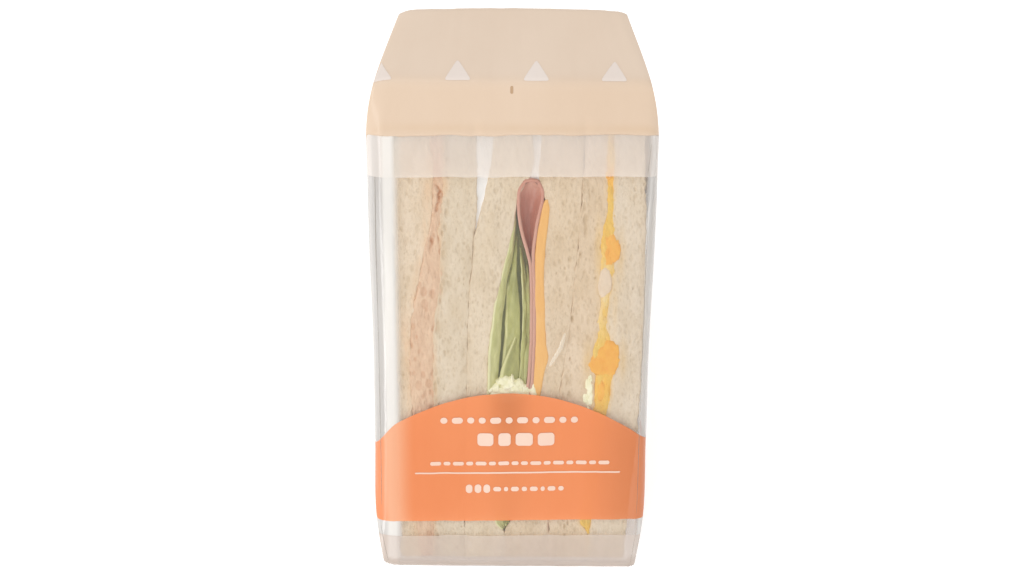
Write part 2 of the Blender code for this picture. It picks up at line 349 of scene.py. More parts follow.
    def across(self, share: Array) -> tuple[Array, Array]:
        """Where a share of the way across the pack lies.

        Args:
            share: -1 at the left rim to 1 at the right rim.

        Returns:
            x before the width changes with height, and the inset towards the pack's middle. The outer
            fifth of each half is a quarter circle that turns from the front into the side.
        """
        radius = np.where(share < 0, self.left_round, self.right_round)
        flat = self.half_width - radius
        inner = np.clip(np.abs(share) / self.flat_share, 0, 1) * flat
        turn = np.clip((np.abs(share) - self.flat_share) / (1 - self.flat_share), 0, 1) * math.pi / 2
        return np.sign(share) * (inner + radius * np.sin(turn)), radius * (1 - np.cos(turn))

    def level(self, height: Array, share: Array) -> Array:
        """The distance along the outline at which a line of even height up the slope runs.

        Where the front turns into the sides it is drawn towards the middle of the side view, which would bend
        an even line, so the distance is found by putting that right four times over.

        Args:
            height: The height wanted, on the front.
            share: Share across the pack, -1 to 1.

        Returns:
            The distance for each share.
        """
        middle = self.height(self.middle)
        inset = self.across(share)[1]
        along = np.broadcast_to(np.asarray(height, float), np.broadcast(height, share).shape)
        for _ in range(4):
            shrink = 1 - self.edge_share(along) * inset / self.middle[1]
            along = middle + (height - middle) / shrink
        return along

    def share_at(self, x: Array, height: Array) -> Array:
        """The share across the pack that lies at x on the flat of the front, at a height up the slope."""
        widened = x * self.half_width / self.widths.at(height)
        radius = np.where(widened < 0, self.left_round, self.right_round)
        return widened * self.flat_share / (self.half_width - radius)

    def sag(self, x: Array, along: Array) -> Array:
        """How far the film sags into the two gaps between the sandwiches."""
        gaps = bell(x, EDGES["first_gap_left"].at(along), self.gap_reach)
        gaps = gaps + bell(x, EDGES["second_gap_left"].at(along), self.gap_reach)
        return self.gap_sag * gaps * ramp(along, 2, 12) * (1 - ramp(along, 140, 152))

    def wrinkle(self, x: Array, along: Array) -> Array:
        """How far the film stands out in wrinkles: long ones up the slope, stronger near the sides, and a
        wide unevenness everywhere.

        Args:
            x: Distances to the right of the pack's middle.
            along: Distances along the outline.

        Returns:
            The heights of the wrinkles.
        """
        rim = ramp(np.abs(x), 28, 42)
        long_ones = rough_noise(x / 5.5, along / 60, 3) * (0.13 + 0.1 * rim)
        wide = 0.2 * rough_noise(x / 17, along / 23, 11)
        fine = 0.05 * rough_noise(x / 3.1, along / 14, 23)
        return (long_ones + wide + fine) * ramp(along, 1, 8)

    def surface(self, along: Array, share: Array, lift: float | Array = 0.0, sag: float = 0.45) -> Array:
        """Points of the film's outer surface.

        The outline's point is drawn towards the middle of the side view by the inset over the inner circle's
        radius, moved by sag, wrinkles and the head's bow, lifted outwards, and x follows the pack's width.

        Args:
            along: Distance along the outline.
            share: Share across the pack, -1 to 1.
            lift: How far outside the film the surface lies.
            sag: The share of the gaps' full sag that it follows.

        Returns:
            The points, with x, y and z last.
        """
        along, share = np.broadcast_arrays(np.asarray(along, float), np.asarray(share, float))
        base = self.side_point(along)
        x, inset = self.across(share)
        shrink = 1 - self.edge_share(self.height(base)) * inset / self.middle[1]
        place = self.middle + shrink[..., None] * (base - self.middle)
        on_front = (along > 0) & (along < self.marks["ridge_start"])
        place = place - np.where(on_front, sag * self.sag(x, along), 0.0)[..., None] * OUTWARD
        ridge, fold = self.corners["ridge"], self.corners["fold"]
        in_head = (base[..., 0] > ridge[0]) & (base[..., 1] > self.head_foot)
        reach = np.clip((base[..., 0] - ridge[0]) / (fold[0] - ridge[0]), 0, 1)
        rise = ramp(base[..., 1], self.head_foot, fold[1])
        bow = self.head_bow * reach * rise * (1 - (x / self.half_width) ** 2)
        place = place + np.where(in_head, bow, 0.0)[..., None] * BACKWARD
        away = place - self.middle
        away = away / np.linalg.norm(away, axis=-1, keepdims=True)
        place = place + away * (np.asarray(lift) + self.wrinkle(x, along))[..., None]
        width = self.widths.at(self.height(place)) / self.half_width
        return np.concatenate([(x * width)[..., None], place], axis=-1)

    def cut_face(self, x: Array, height: Array, depth: Array) -> Array:
        """Points named by x, height up the slope and depth below the bread's cut face.

        Args:
            x: Distance to the right of the pack's middle.
            height: Height up the slope.
            depth: Depth below the cut face.

        Returns:
            The points, with x, y and z last.
        """
        x, height, depth = np.broadcast_arrays(*(np.asarray(v, float) for v in (x, height, depth)))
        inward = (self.front_gap + depth)[..., None] * OUTWARD
        place = self.corners["toe"] + height[..., None] * SLOPE - inward
        return np.concatenate([x[..., None], place], axis=-1)

    def bread_depth(self, height: Array) -> Array:
        """How deep the bread is behind its cut face: the nearer of the way to its base and to its back."""
        low, high = self.bread_ends
        return np.clip(np.minimum(height - low, high - height), 0, None)

    @cached_property
    def bread_ends(self) -> tuple[float, float]:
        """Heights up the slope of the bread's lower and upper corner."""
        low = self.height(np.array([-self.bread_leg, self.floor_layers]))
        high = self.height(np.array([0.0, self.bread_leg + self.floor_layers]))
        return float(low), float(high)

    def to_frame(self, points: Array) -> Array:
        """Places in the frame, in metres, of points of the side view, in millimetres."""
        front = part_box(NODE)[0][1] / MM
        shift = front - self.outline[1][:, 0].min()
        return (points + np.array([0.0, shift, 0.0])) * MM


# The lines at which the layers meet, from left to right.
EDGES = {
    "bread_left": Line(((0, -35.6), (15, -35.9), (62, -36.2), (96, -36.6), (125, -37.1), (159, -36.4))),
    "tuna_left": Line((
        (0, -28.6), (15, -31.0), (50, -31.6), (66, -32.3), (86, -31.6), (93, -30.4), (105, -28.0),
        (113, -26.4), (125, -24.7), (145, -24.6), (159, -24.2),
    )),
    "tuna_right": Line((
        (0, -25.6), (15, -24.9), (70, -24.8), (86, -24.2), (95, -23.0), (105, -22.5), (113, -22.9),
        (125, -21.6), (145, -21.6), (159, -21.8),
    )),
    "first_gap_left": Line((
        (0, -15.0), (66, -14.1), (93, -13.4), (105, -12.3), (112, -12.0), (118, -11.2), (131, -11.1),
        (159, -11.6),
    )),
    "first_gap_right": Line((
        (0, -14.8), (66, -13.9), (93, -13.2), (105, -12.1), (112, -11.7), (118, -10.2), (131, -7.2),
        (159, -4.0),
    )),
    "lettuce_left": Line((
        (0, -1.6), (12, -1.8), (13.6, -2.6), (15, -4.0), (18, -5.0), (40, -6.4), (62, -7.4), (72, -7.1),
        (83, -6.3), (96, -4.0), (109, -0.9), (118, 0.8), (125, 1.9), (128, 3.2), (131, 5.2), (134, 6.1),
        (145, 6.2), (159, 6.2),
    )),
    "ham_left": Line((
        (0, -1.4), (15, -0.5), (40, 2.8), (66, 5.2), (76, 5.8), (97, 5.8), (104, 5.4), (108, 4.1),
        (115, 2.1), (121, 1.4), (126, 1.5), (130, 3.4),
    )),
    "cheese_left": Line((
        (15, 0.6), (40, 4.8), (66, 7.4), (76, 7.9), (97, 7.5), (109, 7.6), (115, 8.3), (120, 9.2),
        (123, 9.7), (124.6, 10.6),
    )),
    "cheese_right": Line((
        (0, -1.2), (15, -0.2), (40, 6.6), (62, 9.9), (68, 10.8), (73, 12.1), (78, 11.3), (89, 10.8),
        (98, 10.3), (109, 10.6), (118, 11.5), (122, 11.8), (124.6, 11.3), (131, 9.7), (138, 9.0),
        (159, 9.2),
    )),
    "slice_4_left": Line((
        (0, -1.5), (12, -1.6), (13.6, -1.0), (15, 0.0), (40, 6.6), (62, 9.9), (73, 11.4), (89, 10.6),
        (98, 10.1), (109, 10.4), (118, 11.0), (124, 10.6), (128, 9.4), (131, 8.6), (138, 9.0), (159, 9.3),
    )),
    "second_gap_left": Line((
        (0, 12.7), (14, 13.0), (40, 14.6), (62, 15.8), (76, 17.9), (96, 19.7), (115, 21.3), (131, 21.9),
        (159, 22.4),
    )),
    "second_gap_right": Line((
        (0, 12.9), (14, 13.2), (40, 14.8), (62, 16.0), (76, 18.1), (96, 19.9), (115, 21.5), (131, 22.2),
        (159, 23.2),
    )),
    "egg_left": Line((
        (0, 25.7), (11.4, 25.9), (13, 25.2), (15.5, 23.6), (18, 23.4), (30, 25.0), (45, 26.0), (62, 27.2),
        (68, 27.2), (73, 26.6), (78, 27.4), (84, 28.4), (91, 28.2), (100, 28.0), (106, 28.4), (113, 28.6),
        (119, 29.7), (131, 29.6), (159, 29.8),
    )),
    "egg_right": Line((
        (0, 25.9), (11.4, 26.1), (13, 26.5), (15, 26.8), (30, 28.6), (45, 30.4), (62, 32.3), (68, 33.0),
        (73, 33.4), (77, 32.6), (81, 31.2), (97, 31.7), (104, 32.6), (109, 32.9), (114, 32.0),
        (119, 31.6), (131, 31.7), (145, 31.4), (159, 31.0),
    )),
    "bread_right": Line(
        ((0, 37.6), (15, 38.7), (40, 40.6), (62, 41.8), (96, 42.3), (125, 41.6), (145, 40.6), (159, 39.4))
    ),
}


@dataclass
class Sheet:
    """A surface worked out on a grid: its points in millimetres, and values that its finish reads."""

    points: Array
    values: dict[str, Array] = field(default_factory=dict)
    closed_round: bool = False
    capped: bool = False

    def faces(self) -> tuple[Array, list[list[int]]]:
        """The grid's four-sided faces, and the two many-sided faces that cap its first and last row.

        Returns:
            The four-sided faces, and the caps.
        """
        rows, columns = self.points.shape[:2]
        number = np.arange(rows * columns).reshape(rows, columns)
        right = np.roll(number, -1, axis=1) if self.closed_round else number[:, 1:]
        left = number if self.closed_round else number[:, :-1]
        quads = np.stack([left[:-1], right[:-1], right[1:], left[1:]], axis=-1).reshape(-1, 4)
        caps = [number[0, ::-1].tolist(), number[-1].tolist()] if self.capped else []
        return quads, caps

    def make(self, name: str, form: PackForm) -> Piece:
        """Makes the surface into a mesh object at the frame's origin."""
        return make_piece(name, [self], form)


def make_piece(name: str, sheets: list[Sheet], form: PackForm) -> Piece:
    """Makes surfaces into one mesh object at the frame's origin.

    Args:
        name: The piece's name.
        sheets: The surfaces, which carry the same values.
        form: Says where the points lie in the frame.

    Returns:
        The object, shaded smooth, with the surfaces' values as point attributes.
    """
    faces, first = [], 0
    for sheet in sheets:
        quads, caps = sheet.faces()
        faces += (quads + first).tolist() + [[number + first for number in cap] for cap in caps]
        first += sheet.points.shape[0] * sheet.points.shape[1]
    mesh = bpy.data.meshes.new(name)
    points = np.concatenate([sheet.points.reshape(-1, 3) for sheet in sheets])
    mesh.from_pydata(form.to_frame(points), [], faces)
    mesh.polygons.foreach_set("use_smooth", np.ones(len(mesh.polygons), bool))
    for key in sheets[0].values:
        layer = mesh.attributes.new(key, "FLOAT", "POINT")
        values = [np.broadcast_to(sheet.values[key], sheet.points.shape[:2]).ravel() for sheet in sheets]
        layer.data.foreach_set("value", np.concatenate(values))
    mesh.update()
    piece = bpy.data.objects.new(name, mesh)
    bpy.context.scene.collection.objects.link(piece)
    return piece


class Wiring:
    """Adds nodes to one node tree and joins them."""

    def __init__(self, tree: bpy.types.NodeTree) -> None:
        """Keeps the tree."""
        self.tree = tree

    def node(self, kind: str, sockets: dict | None = None, **settings: object) -> bpy.types.Node:
        """Adds a node.

        Args:
            kind: The node's type.
            sockets: Its input sockets' values, by name or number; a socket of another node is linked.
            settings: Its own settings.

        Returns:
            The node.
        """
        made = self.tree.nodes.new(kind)
        for key, value in settings.items():
            setattr(made, key, value)
        for key, value in (sockets or {}).items():
            if isinstance(value, Socket):
                self.tree.links.new(value, made.inputs[key])
            else:
                made.inputs[key].default_value = value
        return made

    def mixed(self, share: object, first: object, second: object) -> Socket:
        """The blend of two colours by a share: the node takes them on sockets 6 and 7, and gives one on 2."""
        made = self.node("ShaderNodeMix", {0: share, 6: first, 7: second}, data_type="RGBA")
        return made.outputs[2]

    def worked(self, operation: str, *values: object) -> Socket:
        """The outcome of one sum, product or other operation on numbers."""
        return self.node("ShaderNodeMath", dict(enumerate(values)), operation=operation).outputs[0]

    def ranged(
        self, value: object, low: float, high: float, start: float, end: float
    ) -> Socket:
        """A value's range from low to high, carried to start to end and held there."""
        sockets = {0: value, 1: low, 2: high, 3: start, 4: end}
        return self.node("ShaderNodeMapRange", sockets, clamp=True).outputs[0]

    def attribute(self, name: str) -> Socket:
        """A value that the piece's mesh carries at its points."""
        return self.node("ShaderNodeAttribute", attribute_name=name).outputs["Fac"]


def new_group(name: str, inputs: dict[str, str], outputs: dict[str, str]) -> tuple[
    Wiring, bpy.types.Node, bpy.types.Node
]:
    """Starts a shader node group.

    Args:
        name: The group's name.
        inputs: Its input sockets' names and types.
        outputs: Its output sockets' names and types.

    Returns:
        Its wiring, its input node and its output node.
    """
    tree = bpy.data.node_groups.new(name, "ShaderNodeTree")
    for key, kind in inputs.items():
        tree.interface.new_socket(name=key, in_out="INPUT", socket_type=kind)
    for key, kind in outputs.items():
        tree.interface.new_socket(name=key, in_out="OUTPUT", socket_type=kind)
    wiring = Wiring(tree)
    return wiring, wiring.node("NodeGroupInput"), wiring.node("NodeGroupOutput")


class Effects:
    """Shader node groups that several finishes share, each made once."""

    SLANT = (math.radians(45), 0.0, 0.0)

    def __init__(self) -> None:
        """Builds the groups."""
        self.mottle = self.make_mottle()
        self.grain = self.make_grain()
        self.crumb = self.make_crumb()

    def slanted(self, wiring: Wiring, stretch: float) -> Socket:
        """Object coordinates turned to the front's slope, drawing a pattern out along it by the stretch."""
        place = wiring.node("ShaderNodeTexCoord").outputs["Object"]
        sockets = {"Vector": place, "Rotation": self.SLANT, "Scale": (1.0, stretch, 1.0)}
        return wiring.node("ShaderNodeMapping", sockets, vector_type="TEXTURE").outputs[0]

    def make_mottle(self) -> bpy.types.NodeTree:
        """Blends a light and a dark colour by noise that is drawn out along the front's slope.

        Returns:
            The group.
        """
        inputs = {"Light": "NodeSocketColor", "Dark": "NodeSocketColor", "Scale": "NodeSocketFloat"}
        outputs = {"Colour": "NodeSocketColor", "Mask": "NodeSocketFloat"}
        wiring, given, out = new_group("mottled_colour", inputs, outputs)
        place = self.slanted(wiring, 2.4)
        sockets = {"Vector": place, "Scale": given.outputs["Scale"], "Detail": 5.0, "Roughness": 0.6}
        noise = wiring.node("ShaderNodeTexNoise", sockets).outputs[0]
        # Most of the noise lies between 0.36 and 0.66, which is spread over the whole range.
        mask = wiring.ranged(noise, 0.36, 0.66, 0.0, 1.0)
        colour = wiring.mixed(mask, given.outputs["Light"], given.outputs["Dark"])
        wiring.tree.links.new(colour, out.inputs["Colour"])
        wiring.tree.links.new(mask, out.inputs["Mask"])
        return wiring.tree

    def make_grain(self) -> bpy.types.NodeTree:
        """A fine height: noise, and the small dimples of a cell pattern.

        Returns:
            The group.
        """
        inputs = {"Scale": "NodeSocketFloat", "Dimples": "NodeSocketFloat"}
        wiring, given, out = new_group("surface_grain", inputs, {"Height": "NodeSocketFloat"})
        sockets = {"Vector": self.slanted(wiring, 1.8), "Scale": given.outputs["Scale"]}
        cells = wiring.node("ShaderNodeTexVoronoi", sockets).outputs[0]
        noise = wiring.node("ShaderNodeTexNoise", {**sockets, "Detail": 4.0}).outputs[0]
        dimples = wiring.worked("MULTIPLY", cells, given.outputs["Dimples"])
        wiring.tree.links.new(wiring.worked("ADD", noise, dimples), out.inputs["Height"])
        return wiring.tree

    def make_crumb(self) -> bpy.types.NodeTree:
        """Small pores in two sizes, drawn out along the front's slope: 1 inside a pore, 0 between them.

        Returns:
            The group.
        """
        wiring, given, out = new_group(
            "open_crumb", {"Scale": "NodeSocketFloat"}, {"Mask": "NodeSocketFloat"}
        )
        place = self.slanted(wiring, 1.7)
        noise = wiring.node("ShaderNodeTexNoise", {"Vector": place, "Scale": 420.0, "Detail": 3.0})
        # The cells are bent by up to 1.2 mm, so that no pore is a plain oval.
        sockets = {0: noise.outputs["Color"], 1: (1.2 * MM, 1.2 * MM, 1.2 * MM)}
        bent = wiring.node("ShaderNodeVectorMath", sockets, operation="MULTIPLY").outputs[0]
        moved = wiring.node("ShaderNodeVectorMath", {0: place, 1: bent}, operation="ADD").outputs[0]
        masks = []
        for step, share in ((1.0, 0.3), (1.9, 0.24)):
            scale = wiring.worked("MULTIPLY", given.outputs["Scale"], step)
            cells = wiring.node("ShaderNodeTexVoronoi", {"Vector": moved, "Scale": scale})
            spread = wiring.node("ShaderNodeSeparateColor", {0: cells.outputs["Color"]}).outputs[0]
            edge = wiring.worked("MULTIPLY", spread, share * 1.5)
            depth = wiring.worked("SUBTRACT", edge, cells.outputs["Distance"])
            masks.append(wiring.ranged(depth, 0.0, 0.14, 0.0, 1.0))
        wiring.tree.links.new(wiring.worked("MAXIMUM", *masks), out.inputs["Mask"])
        return wiring.tree


class Finish:
    """What every finish shares: a material of its own, made once."""

    name: str

    def material(self, effects: Effects) -> bpy.types.Material:
        """The finish's material, made on first use.

        Args:
            effects: The shared node groups.

        Returns:
            The material.
        """
        found = bpy.data.materials.get(self.name)
        if found:
            return found
        made = bpy.data.materials.new(self.name)
        made.use_nodes = True
        made.node_tree.nodes.clear()
        wiring = Wiring(made.node_tree)
        wiring.node("ShaderNodeOutputMaterial", {"Surface": self.shader(wiring, effects)})
        return made

    def shader(self, wiring: Wiring, effects: Effects) -> Socket:
        """The finish's shader; each kind of finish makes its own."""
        raise NotImplementedError

    @staticmethod
    def mottled(
        wiring: Wiring, effects: Effects, light: Colour, dark: Colour, scale: float
    ) -> bpy.types.Node:
        """Places the mottled colour group with its own values."""
        sockets = {"Light": light, "Dark": dark, "Scale": scale}
        return wiring.node("ShaderNodeGroup", sockets, node_tree=effects.mottle)

    @staticmethod
    def bumped(
        wiring: Wiring, effects: Effects, scale: float, dimples: float, height: float
    ) -> Socket:
        """The normal of a fine grain, its height in millimetres."""
        grain = wiring.node("ShaderNodeGroup", {"Scale": scale, "Dimples": dimples}, node_tree=effects.grain)
        sockets = {"Height": grain.outputs[0], "Distance": height * MM, "Strength": 1.0}
        return wiring.node("ShaderNodeBump", sockets).outputs[0]

    @staticmethod
    def film(
        wiring: Wiring, share: object, body: dict, gloss: float, roughness: float
    ) -> Socket:
        """Thin film: a share of pale body over a see-through ground, under a gloss that grows with the angle.

        The share of light that the film mirrors is 0.04 face on and rises with the fifth power to its rim.

        Args:
            wiring: The material's nodes.
            share: How much of the body hides what is behind the film.
            body: The body's sockets, among them the film's normal.
            gloss: The gloss's strength.
            roughness: The gloss's roughness.

        Returns:
            The shader.
        """
        normal = body["Normal"]
        pale = wiring.node("ShaderNodeBsdfPrincipled", body).outputs[0]
        clear = wiring.node("ShaderNodeBsdfTransparent").outputs[0]
        veiled = wiring.node("ShaderNodeMixShader", {0: share, 1: clear, 2: pale}).outputs[0]
        shine = wiring.node("ShaderNodeBsdfGlossy", {"Roughness": roughness, "Normal": normal}).outputs[0]
        facing = wiring.node("ShaderNodeLayerWeight", {"Blend": 0.5, "Normal": normal}).outputs["Facing"]
        rising = wiring.worked("MULTIPLY_ADD", wiring.worked("POWER", facing, 5.0), 0.96, 0.04)
        amount = wiring.worked("MULTIPLY", rising, gloss)
        return wiring.node("ShaderNodeMixShader", {0: amount, 1: veiled, 2: shine}).outputs[0]


@dataclass(frozen=True)
class FoodFinish(Finish):
    """Food: mottled colour, darker or deeper where the mesh says so, with a fine grain."""

    name: str
    light: Colour
    dark: Colour
    deep: Colour
    stain: Colour | None = None
    mottle_scale: float = 180.0
    grain_scale: float = 900.0
    dimples: float = 0.6
    grain_height: float = 0.25
    roughness: float = 0.7
    coat: float = 0.0
    glare: float = 0.0
    pores: float = 0.0
    pore_scale: float = 620.0

    def shader(self, wiring: Wiring, effects: Effects) -> Socket:
        """A Principled shader; the mesh's tone brings in the deep colour, and its stain the stain's.

        Args:
            wiring: The material's nodes.
            effects: The shared node groups.

        Returns:
            The shader's output.
        """
        mottle = self.mottled(wiring, effects, self.light, self.dark, self.mottle_scale)
        deep_share = wiring.attribute("tone")
        # The crumb's pores darken the colour towards the deep one: painted shade in the pores.
        if self.pores:
            crumb = wiring.node("ShaderNodeGroup", {"Scale": self.pore_scale}, node_tree=effects.crumb)
            deep_share = wiring.worked("MULTIPLY_ADD", crumb.outputs["Mask"], self.pores, deep_share)
        colour = wiring.mixed(deep_share, mottle.outputs["Colour"], self.deep)
        if self.stain:
            colour = wiring.mixed(wiring.attribute("stain"), colour, self.stain)
        rough = wiring.ranged(mottle.outputs["Mask"], 0.0, 1.0, self.roughness - 0.08, self.roughness + 0.06)
        normal = self.bumped(wiring, effects, self.grain_scale, self.dimples, self.grain_height)
        sockets = {"Base Color": colour, "Roughness": rough, "Normal": normal, "Coat Weight": self.coat}
        # Glare makes the food give out light in its own colour: painted light, though it is no lamp.
        sockets.update({"Coat Roughness": 0.12, "Emission Color": colour, "Emission Strength": self.glare})
        return wiring.node("ShaderNodeBsdfPrincipled", sockets).outputs[0]


@dataclass(frozen=True)
class FilmFinish(Finish):
    """Clear or milky film: a veil of pale colour over what lies behind it, and a gloss."""

    name: str
    light: Colour
    dark: Colour
    veil: float
    # Colours that the mesh's values mix in: a pale one for the painted highlight, a dim one for painted
    # shade.
    painted_highlight: Colour = (0.97, 0.94, 0.89, 1.0)
    edge: Colour = (0.56, 0.535, 0.51, 1.0)
    unevenness: float = 0.3
    gloss: float = 1.0
    roughness: float = 0.1
    mottle_scale: float = 60.0

    def shader(self, wiring: Wiring, effects: Effects) -> Socket:
        """The film shader; the mesh's rim thickens the veil, its painted highlight whitens it, and its tone
        dims it with painted shade.

        Args:
            wiring: The material's nodes.
            effects: The shared node groups.

        Returns:
            The shader's output.
        """
        mottle = self.mottled(wiring, effects, self.light, self.dark, self.mottle_scale)
        low, high = self.veil * (1 - self.unevenness), self.veil * (1 + self.unevenness)
        share = wiring.ranged(mottle.outputs["Mask"], 0.0, 1.0, low, min(high, 1.0))
        share = wiring.worked("MAXIMUM", share, wiring.attribute("rim"))
        colour = wiring.mixed(wiring.attribute("painted_highlight"), mottle.outputs["Colour"], self.painted_highlight)
        colour = wiring.mixed(wiring.attribute("tone"), colour, self.edge)
        normal = self.bumped(wiring, effects, 160.0, 0.0, 0.05)
        body = {"Base Color": colour, "Roughness": 0.5, "Normal": normal}
        return self.film(wiring, share, body, self.gloss, self.roughness)


@dataclass(frozen=True)
class PrintFinish(Finish):
    """Ink printed on film: nearly solid colour with soft unevenness, under the film's gloss."""

    name: str
    light: Colour
    dark: Colour
    deep: Colour = (0.5, 0.4, 0.3, 1.0)
    painted_light: Colour = (0.9, 0.8, 0.7, 1.0)
    solidity: float = 1.0
    roughness: float = 0.42
    coat: float = 0.35
    mottle_scale: float = 28.0

    def shader(self, wiring: Wiring, effects: Effects) -> Socket:
        """A Principled shader with an alpha a little below 1 where the ink lets light through.

        Args:
            wiring: The material's nodes.
            effects: The shared node groups.

        Returns:
            The shader's output.
        """
        mottle = self.mottled(wiring, effects, self.light, self.dark, self.mottle_scale)
        rough = wiring.ranged(mottle.outputs["Mask"], 0.0, 1.0, self.roughness - 0.05, self.roughness + 0.05)
        normal = self.bumped(wiring, effects, 220.0, 0.0, 0.04)
        # The mesh's tone deepens the ink, in places as painted shade; its stain value brings in painted
        # light.
        colour = wiring.mixed(wiring.attribute("tone"), mottle.outputs["Colour"], self.deep)
        colour = wiring.mixed(wiring.attribute("stain"), colour, self.painted_light)
        sockets = {"Base Color": colour, "Roughness": rough, "Normal": normal}
        sockets.update({"Coat Weight": self.coat, "Coat Roughness": 0.15, "Alpha": self.solidity})
        return wiring.node("ShaderNodeBsdfPrincipled", sockets).outputs[0]


@dataclass(frozen=True)
class SideFilmFinish(Finish):
    """Film of the side panels: the front's print runs on over them in the same bands up the slope."""

    name: str
    form: PackForm
    clear_colour: Colour
    milky_colour: Colour
    label_colour: Colour
    header_colour: Colour
    label_drop: float = 2.6
    clear_veil: float = 0.4
    milky_veil: float = 0.55
    label_veil: float = 0.9

    def band(self, wiring: Wiring, height: object, low: float, high: float) -> Socket:
        """1 between two heights up the slope and 0 outside, with an edge a quarter of a millimetre soft.

        Args:
            wiring: The material's nodes.
            height: The height's socket.
            low: The band's lower height.
            high: Its upper height.

        Returns:
            The mask's output.
        """
        half = 0.125
        above = wiring.ranged(height, low - half, low + half, 0.0, 1.0)
        below = wiring.ranged(height, high - half, high + half, 1.0, 0.0)
        return wiring.worked("MULTIPLY", above, below)

    def shader(self, wiring: Wiring, effects: Effects) -> Socket:
        """Masks for the bands are worked out from the height up the slope, in object coordinates.

        Args:
            wiring: The material's nodes.
            effects: The shared node groups.

        Returns:
            The shader's output.
        """
        below_all, above_all = -20, 260
        toe = self.form.to_frame(np.array([0.0, *self.form.corners["toe"]]))
        sockets = {0: wiring.node("ShaderNodeTexCoord").outputs["Object"], 1: (0.0, *SLOPE)}
        slope = wiring.node("ShaderNodeVectorMath", sockets, operation="DOT_PRODUCT").outputs["Value"]
        height = wiring.worked("MULTIPLY_ADD", slope, 1 / MM, float(-(toe[1:] @ SLOPE) / MM))
        label = self.band(wiring, height, LABEL.bottom, LABEL.side_top - self.label_drop)
        label = wiring.worked("MULTIPLY", label, wiring.attribute("flap"))
        upper = self.band(wiring, height, BANDS.overlap, BANDS.header)
        milky = wiring.worked("MAXIMUM", upper, self.band(wiring, height, below_all, BANDS.lower))
        header = self.band(wiring, height, BANDS.header, above_all)
        header = wiring.worked("MAXIMUM", header, wiring.attribute("printed"))
        mottle = self.mottled(wiring, effects, self.clear_colour, self.milky_colour, 70.0)
        colour = wiring.mixed(milky, mottle.outputs["Colour"], self.milky_colour)
        colour = wiring.mixed(label, colour, self.label_colour)
        colour = wiring.mixed(header, colour, self.header_colour)
        veil = wiring.ranged(mottle.outputs["Mask"], 0.0, 1.0, self.clear_veil * 0.7, self.clear_veil * 1.3)
        for mask, strength in ((milky, self.milky_veil), (label, self.label_veil), (header, 1.0)):
            veil = wiring.worked("MAXIMUM", veil, wiring.worked("MULTIPLY", mask, strength))
        normal = self.bumped(wiring, effects, 160.0, 0.0, 0.06)
        body = {"Base Color": colour, "Roughness": 0.4, "Normal": normal}
        return self.film(wiring, veil, body, 1.0, 0.12)


@dataclass(frozen=True)
class Bands:
    """Heights up the slope at which the film's bands meet."""

    lower: float = 11.9
    overlap: float = 131.7
    header: float = 144.3


@dataclass(frozen=True)
class LabelForm:
    """The label band: flat at the bottom, with an arc for its top edge."""

    bottom: float = 17.3
    top: float = 61.4
    arc_rise: float = 15.5
    half_width: float = 44.3
    skew: float = 0.018
    left_drop: float = 3.2
    sag: float = 0.06

    @property
    def side_top(self) -> float:
        """Height of the top edge where it reaches the sides."""
        return self.top - self.arc_rise

    def edge(self, x: Array) -> Array:
        """Height of the top edge at x: an arc that falls with x squared, and further over the left bulge."""
        arc = self.top - self.arc_rise * np.clip(np.abs(x) / self.half_width, 0, 1) ** 2
        return arc - self.left_drop * ramp(-x, 37.0, 44.3)


BANDS = Bands()
LABEL = LabelForm()


def finish_piece(piece: Piece, finish: Finish, effects: Effects) -> Piece:
    """Gives a piece its material, hangs it on the body that it rides on, and hides the CAD part that it
    stands in for.

    Args:
        piece: The piece.
        finish: Its finish.
        effects: The shared node groups.

    Returns:
        The piece.
    """
    piece.data.materials.append(finish.material(effects))
    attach(piece, BODY)
    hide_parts(NODE)
    log.info("%s: %d faces", piece.name, len(piece.data.polygons))
    return piece


def thicken(piece: Piece, thickness: float, offset: float = 0.0) -> None:
    """Gives a sheet its real thickness, in millimetres, with a Solidify modifier.

    Args:
        piece: The sheet.
        thickness: Its thickness.
        offset: Which side grows, from -1 to 1.
    """
    wall = piece.modifiers.new("thickness", "SOLIDIFY")
    wall.thickness = thickness * MM
    wall.offset = offset
    wall.use_even_offset = False


@dataclass(frozen=True)
class Stain:
    """A soft oval stain on a cut face: where it is, how far it reaches, and how strong it is."""

    x: float
    height: float
    reach_x: float
    reach_height: float
    strength: float

    def at(self, x: Array, height: Array) -> Array:
        """The stain's strength at each point, a bell curve each way."""
        return self.strength * bell(x, self.x, self.reach_x) * bell(height, self.height, self.reach_height)


